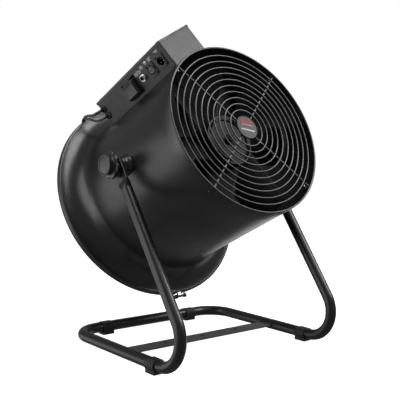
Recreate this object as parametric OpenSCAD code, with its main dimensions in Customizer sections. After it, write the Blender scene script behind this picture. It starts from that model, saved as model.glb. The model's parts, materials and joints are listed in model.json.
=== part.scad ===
// Portable stage wind machine: an axial fan in a steel drum, tilting in a bent tube stand.
// Front is -Y, up is +Z, and the origin is on the floor at the centre of the whole outline.
// All sizes are in millimetres and all angles in degrees.

/* [Stand] */
// Outer diameter of the stand tube
tube_d = 25; // [22:0.5:28]
// Wall thickness of the stand tube
tube_wall = 2; // [1.5:0.25:3]
// Distance between the centrelines of the two side tubes
stand_w = 440; // [438:1:480]
// Height of the base rails' centreline above the floor
rail_z = 18; // [16:0.5:22]
// Centreline radius of every bend in the tube
bend_r = 64; // [55:1:70]
// Angle of the legs from vertical, leaning forward
leg_lean = 35.5; // [32:0.5:38]
// Height of the tilt pivot above the floor
pivot_z = 419; // [400:1:440]
// Distance from the pivot back to the rear rail's centreline
rear_rail = 192; // [180:1:210]

/* [Cross bar] */
// Width of the flat bar that joins the side rails
bar_w = 40; // [30:1:50]
// Thickness of the flat bar
bar_t = 4; // [3:0.5:6]
// Distance of the bar's centre in front of the pivot
bar_forward = 25; // [15:1:35]
// Diameter of the three mounting holes in the bar
bar_hole_d = 13; // [9:0.5:14]
// Spacing of the mounting holes
bar_hole_pitch = 105; // [90:1:120]

/* [Drum] */
// Outer diameter of the drum
drum_d = 400; // [380:1:404]
// Sheet thickness of the drum and the inlet bell
sheet_t = 1.5; // [1:0.25:2]
// Distance from the tilt pivot to the drum's front edge
drum_front = 190; // [180:1:200]
// Distance from the tilt pivot back to where the bell starts
drum_back = 150; // [140:1:160]
// Height of the drum's axis above the tilt pivot
axis_lift = 4; // [0:0.5:8]
// Angle of the air stream above horizontal as the machine is stored
tilt = 25.5; // [0:0.5:60]
// Radius of the inlet bell's curved wall
bell_r = 54; // [50:1:56]
// Width of the clamp band round the bell's rim
band_w = 16; // [15:0.5:17]

/* [Guards] */
// Diameter of the guard ring wires at the outlet
wire_d = 3.2; // [2.5:0.1:4]
// Diameter of the straight wires that carry the rings
spoke_d = 4; // [3:0.1:5]
// Number of rings in the outlet guard
front_rings = 10; // [6:1:11]
// Radius of the outlet guard's smallest ring
front_ring_r = 43; // [36:0.5:44]
// Spacing of the outlet guard's rings
front_ring_step = 15.1; // [13:0.1:15.1]
// Number of rings in the inlet guard
rear_rings = 11; // [6:1:12]
// Spacing of the inlet guard's rings
rear_ring_step = 20; // [16:0.5:20]

/* [Impeller and motor] */
// Number of fan blades
blade_count = 6; // [3:1:8]
// Radius of the blade tips
blade_tip_r = 192; // [185:1:194]
// Pitch of the blades from the plane of rotation
blade_pitch = 32; // [20:1:38]
// Radius of the impeller's hub
hub_r = 60; // [55:1:65]
// Distance from the tilt pivot forward to the hub's front rim
hub_front = 128; // [120:1:135]
// Radius of the motor's casing
motor_r = 55; // [50:1:60]
// Diameter of the motor shaft
shaft_d = 14; // [12:1:16]

/* [Control box] */
// Width of the control box along the drum's skin
box_w = 110; // [100:1:120]
// Distance of the box's front face ahead of the pivot
box_front = 186; // [180:1:188]
// Distance of the box's rear face behind the pivot
box_back = 90; // [80:1:100]
// Height of the box's lid above the drum's axis
box_top = 258; // [250:1:265]
// Angle of the box round the drum from straight up, towards the left side
box_turn = 30; // [0:1:40]

/* [Knobs] */
// Diameter of the tilt knobs' lobed flange
knob_d = 61; // [50:1:66]
// Diameter of the threaded studs that the drum tilts on
stud_d = 10; // [8:1:12]
// Clearance between the stud and its holes, on the radius
run_gap = 0.05; // [0.02:0.01:0.1]

/* [Hidden] */
$fn = 96;

// Facet counts of small and very small round parts
fn_small = 32;
fn_wire = 16;
// Overlap of cutting shapes past the faces they cut
cut = 1;
// Depth by which welded wires and plates sink into each other
weld = 0.3;
// Gap between neighbouring parts that only touch in use
touch_gap = 0.1;

// Stand, derived
half_w = stand_w / 2;
bend_angle = 90 + leg_lean;
bend_reach = bend_r * tan(bend_angle / 2);
leg_rise = pivot_z - rail_z;
bend_y = bend_reach - leg_rise * tan(leg_lean);
leg_len = leg_rise / cos(leg_lean) - bend_reach;
leg_dir = 270 - leg_lean;
tongue_w = 36;
tongue_t = 5;
tongue_l = 42;
tongue_end_r = 22;
neck_end = 62;
sleeve_l = 1;
sleeve_proud = 0.05;

// Drum, derived
drum_r = drum_d / 2;
drum_in_r = drum_r - sheet_t;
bell_centre_r = drum_r + bell_r;
rim_r = bell_centre_r - 2;
band_r = bell_centre_r + 2;
band_back = drum_back + bell_r + 14;
band_t = 1.5;
band_grip = 2.2;
bead_r = 2;
bead_inset = 4;
bead_seat_r = band_r - bead_r;
band_gap = 5;
band_gap_dir = -87;
lug_w = 12;
lug_h = 14;
lug_t = 3;
lug_gap = 9;
lug_bolt_r = band_r + 7;
hem_r = 2.2;
hem_inset = 0.4;

// The outline's front and rear reach from the pivot place the pivot in the row's frame
hem_at_r = drum_r - hem_r - hem_inset;
front_reach = (drum_front - hem_r) * cos(tilt) + (hem_at_r - axis_lift) * sin(tilt) + hem_r;
rear_reach = band_back * cos(tilt) + (band_r - bead_r + band_t / 2 + axis_lift) * sin(tilt);
pivot_y = (front_reach - rear_reach) / 2;
rear_y = pivot_y + rear_rail;
bar_y = pivot_y - bar_forward;

// Guards, derived
wire_r = wire_d / 2;
spoke_r = spoke_d / 2;
guard_s = drum_front - 4;
spoke_s = guard_s - wire_r - spoke_r + weld;
spoke_turn = 45;
spoke_count = 4;
tab_r = drum_in_r - 1;
tab_t = 2;
tab_w = 14;
tab_l = 20;
tab_front = drum_front - 4.8;
guard_screw_s = drum_front - 16;
guard_screw_d = 4;
badge_r = 28;
badge_t = 2.5;
badge_boss_r = 12;
rear_wire_r = 2.5;
rear_spoke_r = 2;
rear_spokes = 6;
ring_flange_s = -drum_back - bell_r - 1.7;
ring_hoop_r = rim_r;
rear_guard_r = ring_hoop_r - band_t - rear_wire_r + 0.2;
rear_guard_s = -band_back + 6;
rear_spoke_s = rear_guard_s - rear_wire_r - rear_spoke_r + weld;

// Impeller and motor, derived
shaft_r = shaft_d / 2;
hub_l = 62;
hub_wall = 3;
hub_disc_r = 50;
hub_recess = 4;
hub_slot_r = [51, 56];
hub_slot_arc = 44;
hub_slot_turn = 30;
hub_slots = 4;
blade_t = 2.5;
blade_chord = 92;
blade_curve_r = 150;
motor_front = 46;
motor_back = -60;
cap_t = 6;
core_l = 60;
rotor_r = 30;
air_gap = 0.5;
bearing_r = 16;
bearing_w = 10;

// Control box, derived
box_half = box_w / 2;
lip_t = 1;
lip_h = 6;
wall_t = 1.5;
wall_x = box_half - lip_t;
panel_x = wall_x;
box_l = box_front + box_back;
tray_y = drum_r + 2.5;
board_x = -8;
board_y = 212;
board_s = -2;
board_w = 56;
board_t = 1.6;
board_l = 118;

// Side panel layout: distance ahead of the pivot and height above the drum's axis
socket_y = 223.5;
data_in_s = 158.5;
data_out_s = 122;
jack_s = 88;
led_pos = [117, 244.5];
inlet_pos = [40, 225];
grommet_s = -80;
grommet_y = [236, 217];

// Data sockets
plate_w = 26;
plate_h = 31;
plate_t = 2;
socket_r = 11.8;
socket_depth = 26;
socket_screw = [9.5, 12];
pin_circle_r = 5;
latch_w = 6;
latch_y = 8.1;
latch_t = 2.6;
latch_gap = 0.2;

// Mains inlet and its splash lid
inlet_w = 50;
inlet_h = 46;
inlet_t = 2.5;
inlet_cavity = [28, 20, 16];
lid_w = 46;
lid_h = 38;
lid_t = 11;
hinge_r = 2.5;
hinge_pin_r = 1.25;
hinge_y = 243.5;
hinge_z = 6;
knuckle_l = 10;

// Knobs
stud_r = stud_d / 2;
bore_r = stud_r + run_gap;
boss_end = half_w - 1.7;
tongue_in = half_w;
tongue_out = tongue_in + tongue_t;
knob_in = tongue_out + 0.5;
knob_face = band_r;
knob_lobes = 7;

// Feet: how far the rubber wraps round the tube, and where each one sits
foot_l = 30;
foot_wall = 3.2;
foot_pad_w = 24;
foot_front_y = pivot_y + bend_y + 22;
foot_rear_x = 128;

// Cable routes in the box frame: along the skin, out from the axis, along the air stream
motor_cable_d = 7;
speed_cable_d = 5.5;
motor_cable_route = [
    [-18, 224, -62], [-24, 230, -71], [-36, 235, -78], [-49, 236, -80], [-57, 236, -80],
    [-63, 236.5, -84], [-66, 238, -93], [-64, 240, -105], [-56, 243, -122], [-45, 247, -140],
    [-33, 251, -158], [-22, 256, -177], [-12, 260, -196], [-6, 262, -210], [-4, 256, -224],
    [-4, 240, -229], [-4.5, 205, -229], [-5, 165, -229], [-5, 125, -229], [-6, 90, -229],
    [-9, 70, -227], [-13, 58, -219], [-15, 54, -206],
    [-18, 48, -180], [-19, 42, -150], [-20, 36, -120], [-20, 32, -95], [-20, 31, -82],
    [-20, 31, -62]
];
speed_cable_route = [
    [-29, 208, -54], [-32, 210, -66], [-39, 215, -77], [-49, 217, -80], [-57, 217, -80],
    [-64, 218, -85], [-67, 220, -95], [-66, 223, -108], [-60, 229, -124], [-50, 237, -142],
    [-39, 244, -160], [-29, 251, -178], [-20, 257.5, -196], [-15, 260, -209], [-13.5, 254, -222],
    [-13.5, 240, -227], [-13.5, 205, -228], [-14, 165, -228], [-14, 125, -228], [-14.5, 90, -228],
    [-19, 70, -226], [-25, 57, -218], [-27, 52, -205],
    [-30, 44, -180], [-31, 35, -150], [-31, 27, -120], [-30, 22, -95], [-30, 20, -82],
    [-30, 20, -62]
];
tie_at = [178, 98];
tie_mid = -7;
tie_s = -223.2;
tie_w = 4;
tie_out = [24, 22];
tie_wall = 1.4;
// Where the cables enter the motor, in the box frame, and the hole each one passes through
gland_at = [[-20, 31], [-30, 20]];
gland_r = 5.6;
function cable_bore(i) = [motor_cable_d, speed_cable_d][i] / 2 + 0.15;
cable_sides = 8;
cable_steps = 3;

// Colours
paint = [0.1, 0.1, 0.11];
dark = [0.06, 0.06, 0.065];
rubber = [0.04, 0.04, 0.04];
steel = [0.62, 0.63, 0.65];
chrome = [0.8, 0.8, 0.82];
brass = [0.8, 0.62, 0.25];
casting = [0.4, 0.41, 0.42];
board_green = [0.05, 0.3, 0.15];

// ---- Frames ----

// Origin on the tilt pivot
module on_pivot() translate([0, pivot_y, pivot_z]) children();

// Duct frame: x to the right, y away from the axis, z along the air stream
module on_drum() {
    on_pivot() rotate([-tilt, 0, 0]) translate([0, 0, axis_lift]) rotate([90, 0, 0]) children();
}

// Box frame: the duct frame turned round to the middle of the control box
module on_box() on_drum() rotate([0, 0, box_turn]) children();

// Panel frame: x along the air stream, y away from the axis, z out of the side panel
module on_panel() on_box() translate([-panel_x, 0, 0]) rotate([0, -90, 0]) children();

// Side frame: z out along the pivot's axis, to the right for 1 and to the left for -1
module on_side(side) {
    on_pivot() mirror([side < 0 ? 1 : 0, 0, 0]) rotate([0, 90, 0]) children();
}

// Leg frame on the right side: x down along the leg, z outward
module on_leg() {
    translate([0, pivot_y, 0]) rotate([90, 0, 90]) translate([0, pivot_z, 0])
        rotate([0, 0, leg_dir]) children();
}

// ---- Shared shapes ----

module ring(r_out, r_in, h) {
    difference() {
        cylinder(r = r_out, h = h);
        translate([0, 0, -cut]) cylinder(r = r_in, h = h + 2 * cut);
    }
}

module wire_ring(r, wire, fn_round = 72) {
    rotate_extrude($fn = fn_round) translate([r, 0]) circle(r = wire, $fn = fn_wire);
}

module radial_rod(from_r, to_r, rod_r) {
    translate([from_r, 0, 0]) rotate([0, 90, 0])
        cylinder(r = rod_r, h = to_r - from_r, $fn = fn_small);
}

module hex_nut(across, h, hole_r) {
    difference() {
        cylinder(d = across / cos(30), h = h, $fn = 6);
        translate([0, 0, -cut]) cylinder(r = hole_r, h = h + 2 * cut, $fn = fn_small);
    }
}

// Cap screw standing on z = 0 with its shank below
module pan_screw(head_r, head_h, shank_r, shank_l) {
    difference() {
        union() {
            cylinder(r = head_r, h = head_h, $fn = fn_small);
            translate([0, 0, -shank_l]) cylinder(r = shank_r, h = shank_l + head_h / 2, $fn = fn_small);
        }
        translate([0, 0, head_h / 2]) cylinder(r = head_r * 0.45, h = head_h, $fn = 6);
    }
}

// ---- Stand ----

// Thin weld sleeve that ties two touching lengths of tube into one
module sleeve(d) {
    rotate([0, 90, 0]) cylinder(d = d + 2 * sleeve_proud, h = sleeve_l, center = true, $fn = 48);
}

module side_tube(d, start) {
    translate([half_w, 0, 0]) on_leg() {
        translate([start, 0, 0]) rotate([0, 90, 0]) cylinder(d = d, h = leg_len - start, $fn = 48);
        translate([leg_len, 0, 0]) sleeve(d);
    }
    translate([half_w, pivot_y + bend_y, rail_z + bend_r]) rotate([90, 0, 90])
        rotate([0, 0, 180 - leg_lean]) rotate_extrude(angle = bend_angle)
            translate([bend_r, 0]) circle(d = d, $fn = 48);
    translate([half_w, pivot_y + bend_y, rail_z]) rotate([0, 0, 90]) {
        rotate([0, 90, 0]) cylinder(d = d, h = rear_rail - bend_r - bend_y, $fn = 48);
        sleeve(d);
        translate([rear_rail - bend_r - bend_y, 0, 0]) sleeve(d);
    }
    translate([half_w - bend_r, rear_y - bend_r, rail_z]) rotate_extrude(angle = 90)
        translate([bend_r, 0]) circle(d = d, $fn = 48);
    translate([half_w - bend_r, rear_y, rail_z]) sleeve(d);
}

module bent_tube(d, start) {
    for (side = [0, 1]) mirror([side, 0, 0]) side_tube(d, start);
    translate([-half_w + bend_r, rear_y, rail_z]) rotate([0, 90, 0])
        cylinder(d = d, h = stand_w - 2 * bend_r, $fn = 48);
}

module tongue_outline() {
    intersection() {
        translate([4, 0]) circle(r = tongue_end_r);
        translate([-tongue_end_r, -tongue_w / 2]) square([tongue_end_r + 12, tongue_w]);
    }
    translate([0, -tongue_w / 2]) square([tongue_l, tongue_w]);
}

// Where the tube flattens: a cone trimmed to a wedge that narrows towards the tongue
module neck() {
    neck_start = tongue_l - 2;
    mid = half_w + tongue_t / 2;
    intersection() {
        translate([neck_start, 0, half_w]) rotate([0, 90, 0])
            cylinder(r1 = tongue_w / 2 + 1.5, r2 = tube_d / 2, h = neck_end - neck_start);
        translate([0, tongue_w, 0]) rotate([90, 0, 0]) linear_extrude(2 * tongue_w) polygon([
            [neck_start, mid - tongue_t / 2 - weld], [neck_start, mid + tongue_t / 2 + weld],
            [neck_end, half_w + tube_d / 2 + weld], [neck_end + 1, half_w + tube_d / 2 + weld],
            [neck_end + 1, half_w - tube_d / 2 - weld], [neck_end, half_w - tube_d / 2 - weld]]);
    }
    translate([neck_end, 0, half_w]) sleeve(tube_d);
}

// Pressed-flat end of the leg, drilled for the stud, and its neck into the round tube
module tongue() {
    difference() {
        on_leg() {
            translate([0, 0, tongue_in]) linear_extrude(tongue_t) tongue_outline();
            neck();
        }
        on_side(1) translate([0, 0, tongue_in - cut]) cylinder(r = bore_r, h = tongue_t + 2 * cut);
    }
}

module stand_tube() {
    color(paint) {
        difference() {
            bent_tube(tube_d, neck_end);
            bent_tube(tube_d - 2 * tube_wall, neck_end + 4);
        }
        for (side = [0, 1]) mirror([side, 0, 0]) tongue();
    }
}

module cross_bar() {
    bar_half = half_w - tube_d / 2 + 1.2;
    color([0.3, 0.31, 0.31]) difference() {
        translate([-bar_half, bar_y - bar_w / 2, rail_z - bar_t / 2])
            cube([2 * bar_half, bar_w, bar_t]);
        for (side = [-1, 1]) translate([side * half_w, bar_y - bar_w, rail_z])
            rotate([-90, 0, 0]) cylinder(d = tube_d, h = 2 * bar_w);
        for (i = [-1, 0, 1]) translate([i * bar_hole_pitch, bar_y, rail_z - bar_t])
            cylinder(d = bar_hole_d, h = 2 * bar_t);
    }
}

// Rubber saddle lying along +y, with a flat pad that reaches the floor
module foot() {
    translate([0, -foot_l / 2, 0]) difference() {
        union() {
            translate([0, 0, rail_z]) rotate([-90, 0, 0])
                cylinder(d = tube_d + 2 * foot_wall, h = foot_l, $fn = 48);
            translate([-foot_pad_w / 2, 0, 0]) cube([foot_pad_w, foot_l, rail_z]);
        }
        translate([0, -cut, rail_z]) rotate([-90, 0, 0])
            cylinder(d = tube_d, h = foot_l + 2 * cut, $fn = 48);
        translate([-foot_pad_w / 2 - foot_wall, -cut, rail_z + tube_d / 2 - 1])
            cube([foot_pad_w + 2 * foot_wall, foot_l + 2 * cut, tube_d]);
    }
}

module side_foot(side) color(rubber) translate([side * half_w, foot_front_y, 0]) foot();
module rear_foot(side) {
    color(rubber) translate([side * foot_rear_x, rear_y, 0]) rotate([0, 0, 90]) foot();
}

// ---- Drum ----

module at_spokes() {
    for (i = [0 : spoke_count - 1])
        rotate([0, 0, spoke_turn + i * 360 / spoke_count]) children();
}

module drum_shell() {
    color(paint) on_drum() difference() {
        union() {
            translate([0, 0, -drum_back]) ring(drum_r, drum_in_r, drum_front + drum_back - hem_r);
            translate([0, 0, drum_front - hem_r])
                rotate_extrude() translate([hem_at_r, 0]) circle(r = hem_r, $fn = fn_small);
        }
        translate([0, -axis_lift, 0]) rotate([0, 90, 0])
            cylinder(r = bore_r, h = 2 * drum_r + 2 * cut, center = true, $fn = fn_small);
        at_spokes() translate([0, 0, guard_screw_s])
            radial_rod(drum_in_r - cut, drum_r + cut, guard_screw_d / 2 + 0.2);
    }
}

module inlet_bell() {
    color(paint) on_drum() rotate_extrude() intersection() {
        translate([bell_centre_r, -drum_back]) difference() {
            circle(r = bell_r + sheet_t);
            circle(r = bell_r);
        }
        translate([drum_in_r - cut, -drum_back - 2 * bell_r])
            square([rim_r - drum_in_r + cut, 2 * bell_r]);
    }
}

module rear_ring() {
    color(paint) on_drum() {
        translate([0, 0, ring_flange_s - sheet_t]) ring(ring_hoop_r, ring_hoop_r - 8, sheet_t);
        translate([0, 0, -band_back + 1.7])
            ring(ring_hoop_r, ring_hoop_r - band_t, ring_flange_s - sheet_t + band_back - 1.7);
    }
}

module band_profile() {
    translate([bead_seat_r - band_t / 2, -band_back]) square([band_t, band_w]);
    for (s = [bead_inset, band_w - bead_inset])
        translate([bead_seat_r, -band_back + s]) circle(r = bead_r, $fn = fn_small);
    for (s = [0, band_w - band_t])
        translate([rim_r - band_grip, -band_back + s])
            square([bead_seat_r - rim_r + band_grip, band_t]);
}

// Frame of the clamp's lugs: x across the gap, y outward, z along the air stream
module on_lugs() {
    on_drum() rotate([0, 0, band_gap_dir - 90]) translate([0, 0, -band_back + band_w / 2]) children();
}

module clamp_band() {
    color(paint) {
        on_drum() rotate([0, 0, band_gap_dir + band_gap / 2]) rotate_extrude(angle = 360 - band_gap)
            band_profile();
        on_lugs() for (side = [-1, 1]) difference() {
            translate([side * (lug_gap + lug_t / 2) - lug_t / 2, bead_seat_r - 2, -lug_w / 2])
                cube([lug_t, lug_h, lug_w]);
            translate([side * (lug_gap + lug_t / 2), lug_bolt_r, 0]) rotate([0, 90, 0])
                cylinder(r = 3.2, h = 3 * lug_t, center = true, $fn = fn_small);
        }
    }
}

module clamp_bolt() {
    color(steel) on_lugs() translate([-lug_gap - lug_t - touch_gap, lug_bolt_r, 0])
        rotate([0, -90, 0]) pan_screw(5, 4, 3, 2 * lug_gap + 2 * lug_t + 8);
}

module clamp_nut() {
    color(steel) on_lugs() translate([lug_gap + lug_t + touch_gap, lug_bolt_r, 0])
        rotate([0, 90, 0]) hex_nut(10, 5, 3);
}

module rear_guard() {
    color(paint) on_drum() {
        for (i = [0 : rear_rings - 1]) translate([0, 0, rear_guard_s])
            wire_ring(rear_guard_r - i * rear_ring_step, rear_wire_r);
        translate([0, 0, rear_spoke_s]) {
            for (i = [0 : rear_spokes - 1]) rotate([0, 0, i * 360 / rear_spokes])
                radial_rod(10, rear_guard_r + 1, rear_spoke_r);
            translate([0, 0, -1.5]) cylinder(r = 16, h = 3, $fn = fn_small);
        }
    }
}

// ---- Outlet guard ----

module front_guard() {
    color([0.2, 0.2, 0.21]) on_drum() {
        for (i = [0 : front_rings - 1]) translate([0, 0, guard_s])
            wire_ring(front_ring_r + i * front_ring_step, wire_r);
        translate([0, 0, spoke_s - 1.5]) cylinder(r = badge_boss_r, h = 3, $fn = fn_small);
        at_spokes() translate([0, 0, spoke_s]) radial_rod(badge_boss_r - 4, tab_r - tab_t / 2, spoke_r);
        at_spokes() difference() {
            translate([tab_r - tab_t, -tab_w / 2, tab_front - tab_l]) cube([tab_t, tab_w, tab_l]);
            translate([0, 0, guard_screw_s]) radial_rod(tab_r - 2 * tab_t, tab_r + cut, 2.2);
        }
    }
}

module guard_badge() {
    stem_top = drum_front - badge_t - 0.5;
    color([0.25, 0.25, 0.26]) on_drum() {
        translate([0, 0, stem_top]) cylinder(r = badge_r, h = badge_t, $fn = 64);
        translate([0, 0, spoke_s + 1.5 + touch_gap])
            cylinder(r = 7, h = stem_top - spoke_s - 1.5, $fn = fn_small);
    }
}

module guard_screws() {
    color(steel) on_drum() at_spokes() translate([drum_r + touch_gap, 0, guard_screw_s])
        rotate([0, 90, 0]) pan_screw(4.5, 2.6, guard_screw_d / 2, 12);
}

module guard_nuts() {
    color(steel) on_drum() at_spokes() translate([tab_r - tab_t - touch_gap - 3, 0, guard_screw_s])
        rotate([0, 90, 0]) hex_nut(7, 3, guard_screw_d / 2 + 0.1);
}

// ---- Tilt pivots ----

module pivot_bosses() {
    color(dark) difference() {
        for (side = [-1, 1]) on_side(side) {
            translate([0, 0, drum_r - 4]) cylinder(r = 18, h = boss_end - drum_r + 4);
            translate([0, 0, drum_r - 4]) cylinder(r1 = 24, r2 = 18.5, h = 12);
        }
        on_drum() translate([0, 0, -2 * box_w]) cylinder(r = drum_r, h = 4 * box_w);
        on_pivot() rotate([0, 90, 0])
            cylinder(r = bore_r, h = 2 * band_r, center = true, $fn = fn_small);
    }
}

module tilt_washers() {
    color(rubber) for (side = [-1, 1]) on_side(side)
        translate([0, 0, boss_end]) ring(17, bore_r, tongue_in - boss_end - 0.35);
}

module knob(side) {
    lobe_r = 9;
    flange_z = knob_in + 9;
    color(dark) on_side(side) {
        difference() {
            union() {
                translate([0, 0, knob_in]) cylinder(r1 = 15, r2 = 17, h = 9.5);
                translate([0, 0, flange_z]) difference() {
                    cylinder(d = knob_d, h = 7);
                    for (i = [0 : knob_lobes - 1]) rotate([0, 0, i * 360 / knob_lobes])
                        translate([knob_d / 2 + 5.5, 0, -cut]) cylinder(r = lobe_r, h = 7 + 2 * cut);
                }
                translate([0, 0, flange_z + 6.5])
                    cylinder(r1 = 21, r2 = 23.5, h = knob_face - flange_z - 6.5);
            }
            translate([0, 0, knob_face - 1.5]) cylinder(r = 19, h = 2 * cut);
        }
        translate([0, 0, drum_r - 3]) cylinder(r = stud_r, h = knob_in - drum_r + 5, $fn = fn_small);
    }
}

// ---- Motor and impeller ----

module motor_bracket() {
    color(paint) on_drum() difference() {
        union() {
            translate([0, 0, -14]) ring(motor_r + 4, motor_r, 28);
            for (i = [0 : 2]) rotate([0, 0, 90 + i * 120]) {
                translate([motor_r + 2, -2, -12]) cube([drum_in_r - motor_r - 2, 4, 24]);
                translate([drum_in_r - 3, -15, -12]) cube([4, 30, 24]);
            }
        }
        translate([0, 0, -drum_back]) ring(drum_r + 20, drum_in_r, 2 * drum_back);
    }
}

module motor_casing() {
    color(casting) on_drum() difference() {
        translate([0, 0, motor_back]) ring(motor_r - touch_gap, motor_r - 3, motor_front - motor_back);
        for (i = [0 : 7]) rotate([0, 0, i * 45 + 20]) translate([motor_r - 4, -3, 20]) cube([6, 6, 20]);
    }
}

module motor_front_cap() {
    color(casting) on_drum() translate([0, 0, motor_front]) difference() {
        union() {
            cylinder(r = motor_r - touch_gap, h = cap_t);
            translate([0, 0, -8]) cylinder(r = bearing_r + 4, h = 12);
        }
        translate([0, 0, -8 - cut]) cylinder(r = bearing_r, h = bearing_w + cut);
        translate([0, 0, -cap_t]) cylinder(r = shaft_r + 2, h = 3 * cap_t + bearing_w);
    }
}

module motor_rear_cap() {
    color(casting) on_drum() translate([0, 0, motor_back - cap_t]) difference() {
        union() {
            cylinder(r = motor_r - touch_gap, h = cap_t);
            translate([0, 0, 2]) cylinder(r = bearing_r + 4, h = 12);
        }
        translate([0, 0, 14 - bearing_w]) cylinder(r = bearing_r, h = bearing_w + cut);
        translate([0, 0, 3]) cylinder(r = shaft_r + 2, h = 14);
        for (i = [0, 1]) at_gland(i) cylinder(r = gland_r, h = 4 * cap_t, center = true, $fn = fn_small);
    }
}

// Where a cable enters the rear cap: the middle of the cap's outer face
module at_gland(i) rotate([0, 0, box_turn]) translate([gland_at[i].x, gland_at[i].y, 0]) children();

module motor_glands() {
    color(rubber) on_drum() translate([0, 0, motor_back - cap_t]) for (i = [0, 1]) at_gland(i)
        difference() {
            union() {
                translate([0, 0, -touch_gap - 6]) cylinder(r1 = 5.9, r2 = 7.2, h = 6);
                translate([0, 0, -touch_gap - 1]) cylinder(r = gland_r - 0.1, h = 6, $fn = fn_small);
            }
            cylinder(r = cable_bore(i), h = 4 * cap_t, center = true, $fn = fn_small);
        }
}

module motor_stator() {
    color(steel) on_drum() translate([0, 0, -core_l / 2]) ring(motor_r - 3.2, rotor_r + air_gap, core_l);
}

module motor_windings() {
    color([0.72, 0.4, 0.2]) on_drum() for (s = [-core_l / 2 - 11.2, core_l / 2 + 0.2])
        translate([0, 0, s]) ring(motor_r - 7, rotor_r + 3, 11);
}

module motor_bearings() {
    color(chrome) on_drum() for (s = [motor_front - 8, motor_back - cap_t + 4]) translate([0, 0, s])
        ring(bearing_r - 0.05, shaft_r + run_gap, bearing_w - 0.1);
}

module motor_shaft() {
    color(steel) on_drum() translate([0, 0, motor_back - cap_t + 3.5])
        cylinder(r = shaft_r, h = hub_front + 7 - motor_back + cap_t - 3.5);
}

module motor_rotor() {
    color(casting) on_drum() translate([0, 0, -core_l / 2]) ring(rotor_r, shaft_r, core_l);
}

module impeller_hub() {
    color([0.3, 0.3, 0.31]) on_drum() difference() {
        union() {
            translate([0, 0, hub_front - hub_l]) cylinder(r = hub_r, h = hub_l - hub_recess);
            translate([0, 0, hub_front - hub_recess - cut]) ring(hub_r, hub_disc_r, hub_recess + cut);
        }
        translate([0, 0, hub_front - hub_l - cut])
            ring(hub_r - hub_wall, shaft_r + 9, hub_l - hub_recess - 4 + cut);
        translate([0, 0, -hub_front]) cylinder(r = shaft_r, h = 3 * hub_front);
        for (i = [0 : hub_slots - 1]) rotate([0, 0, i * 360 / hub_slots + hub_slot_turn])
            translate([0, 0, hub_front - 10]) rotate_extrude(angle = hub_slot_arc, $fn = 96)
                translate([hub_slot_r.x, 0]) square([hub_slot_r.y - hub_slot_r.x, 12]);
    }
}

// One curved sheet blade along +x, pitched about its own radius
module blade() {
    intersection() {
        rotate([blade_pitch, 0, 0]) translate([hub_r - 1.5, 0, -blade_curve_r])
            rotate([0, 90, 0]) rotate([0, 0, 90]) linear_extrude(drum_r) intersection() {
                difference() {
                    circle(r = blade_curve_r + blade_t / 2);
                    circle(r = blade_curve_r - blade_t / 2);
                }
                translate([-blade_chord / 2, 0]) square([blade_chord, blade_curve_r + blade_t]);
            }
        cylinder(r = blade_tip_r, h = 2 * hub_l, center = true);
    }
}

module impeller_blades() {
    color(dark) on_drum() translate([0, 0, hub_front - hub_l / 2])
        for (i = [0 : blade_count - 1]) rotate([0, 0, i * 360 / blade_count]) difference() {
            blade();
            translate([0, 0, -hub_l]) cylinder(r = hub_r, h = 2 * hub_l);
        }
}

module hub_nut() {
    color(chrome) on_drum() translate([0, 0, hub_front - hub_recess + touch_gap])
        hex_nut(22, 8, shaft_r);
}

// ---- Control box ----

module drum_cut() translate([0, 0, -box_l]) cylinder(r = drum_r, h = 3 * box_l);

// Room for the head of a guard screw under the wall
module guard_screw_cut() {
    rotate([0, 0, -box_turn]) at_spokes() translate([0, 0, guard_screw_s])
        radial_rod(drum_r - 2, drum_r + 3.2, 5);
}

module control_box() {
    color([0.16, 0.16, 0.17]) on_box() difference() {
        translate([-wall_x, 150, -box_back + lip_t])
            cube([2 * wall_x, box_top - wall_t - 150, box_l - 2 * lip_t]);
        translate([-wall_x + wall_t, 140, -box_back + lip_t + wall_t])
            cube([2 * (wall_x - wall_t), box_top, box_l - 2 * (lip_t + wall_t)]);
        drum_cut();
        guard_screw_cut();
        panel_holes();
    }
}

// Holes through the connector panel, in the box frame
module panel_holes() {
    depth = 12;
    translate([-panel_x, 0, 0]) rotate([0, -90, 0]) {
        for (s = [data_in_s, data_out_s]) translate([s, socket_y, -depth / 2]) {
            cylinder(r = socket_r + 0.2, h = depth, $fn = 48);
            for (i = [-1, 1]) translate([i * socket_screw.x, -i * socket_screw.y, 0])
                cylinder(r = 1.6, h = depth, $fn = fn_small);
        }
        translate([jack_s, socket_y, -depth / 2]) cylinder(r = 5.7, h = depth, $fn = fn_small);
        translate([led_pos.x, led_pos.y, -depth / 2]) cylinder(r = 3.1, h = depth, $fn = fn_small);
        translate([inlet_pos.x - 17, inlet_pos.y - 13, -depth / 2]) cube([34, 26, depth]);
        for (y = grommet_y) translate([grommet_s, y, -depth / 2])
            cylinder(r = 7, h = depth, $fn = fn_small);
    }
}

module box_lid() {
    color([0.2, 0.2, 0.21]) on_box() difference() {
        translate([-box_half, box_top - lip_h, -box_back]) cube([box_w, lip_h, box_l]);
        translate([-wall_x - touch_gap, box_top - lip_h - cut, -box_back + lip_t - touch_gap]) cube(
            [2 * wall_x, lip_h + cut - wall_t, box_l - 2 * lip_t] + touch_gap * [2, 1, 2]);
        translate([-16, box_top - 2.6, box_front - lip_t - cut]) cube([30, 1.2, 4 * cut]);
        at_lid_screws() translate([0, 0, -6]) cylinder(r = 1.7, h = 12, $fn = fn_small);
    }
}

module at_lid_screws() {
    for (x = [-1, 1], s = [-box_back + 14, box_front - 14])
        translate([x * (box_half - 12), box_top, s]) rotate([-90, 0, 0]) children();
}

module box_screws() {
    color(steel) on_box() at_lid_screws() translate([0, 0, touch_gap]) pan_screw(3.6, 2, 1.5, 6);
}

module box_tray() {
    color(steel) on_box() translate([-wall_x + wall_t + 0.2, tray_y, -box_back + 4])
        cube([2 * (wall_x - wall_t - 0.2), wall_t, box_l - 8]);
}

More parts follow.
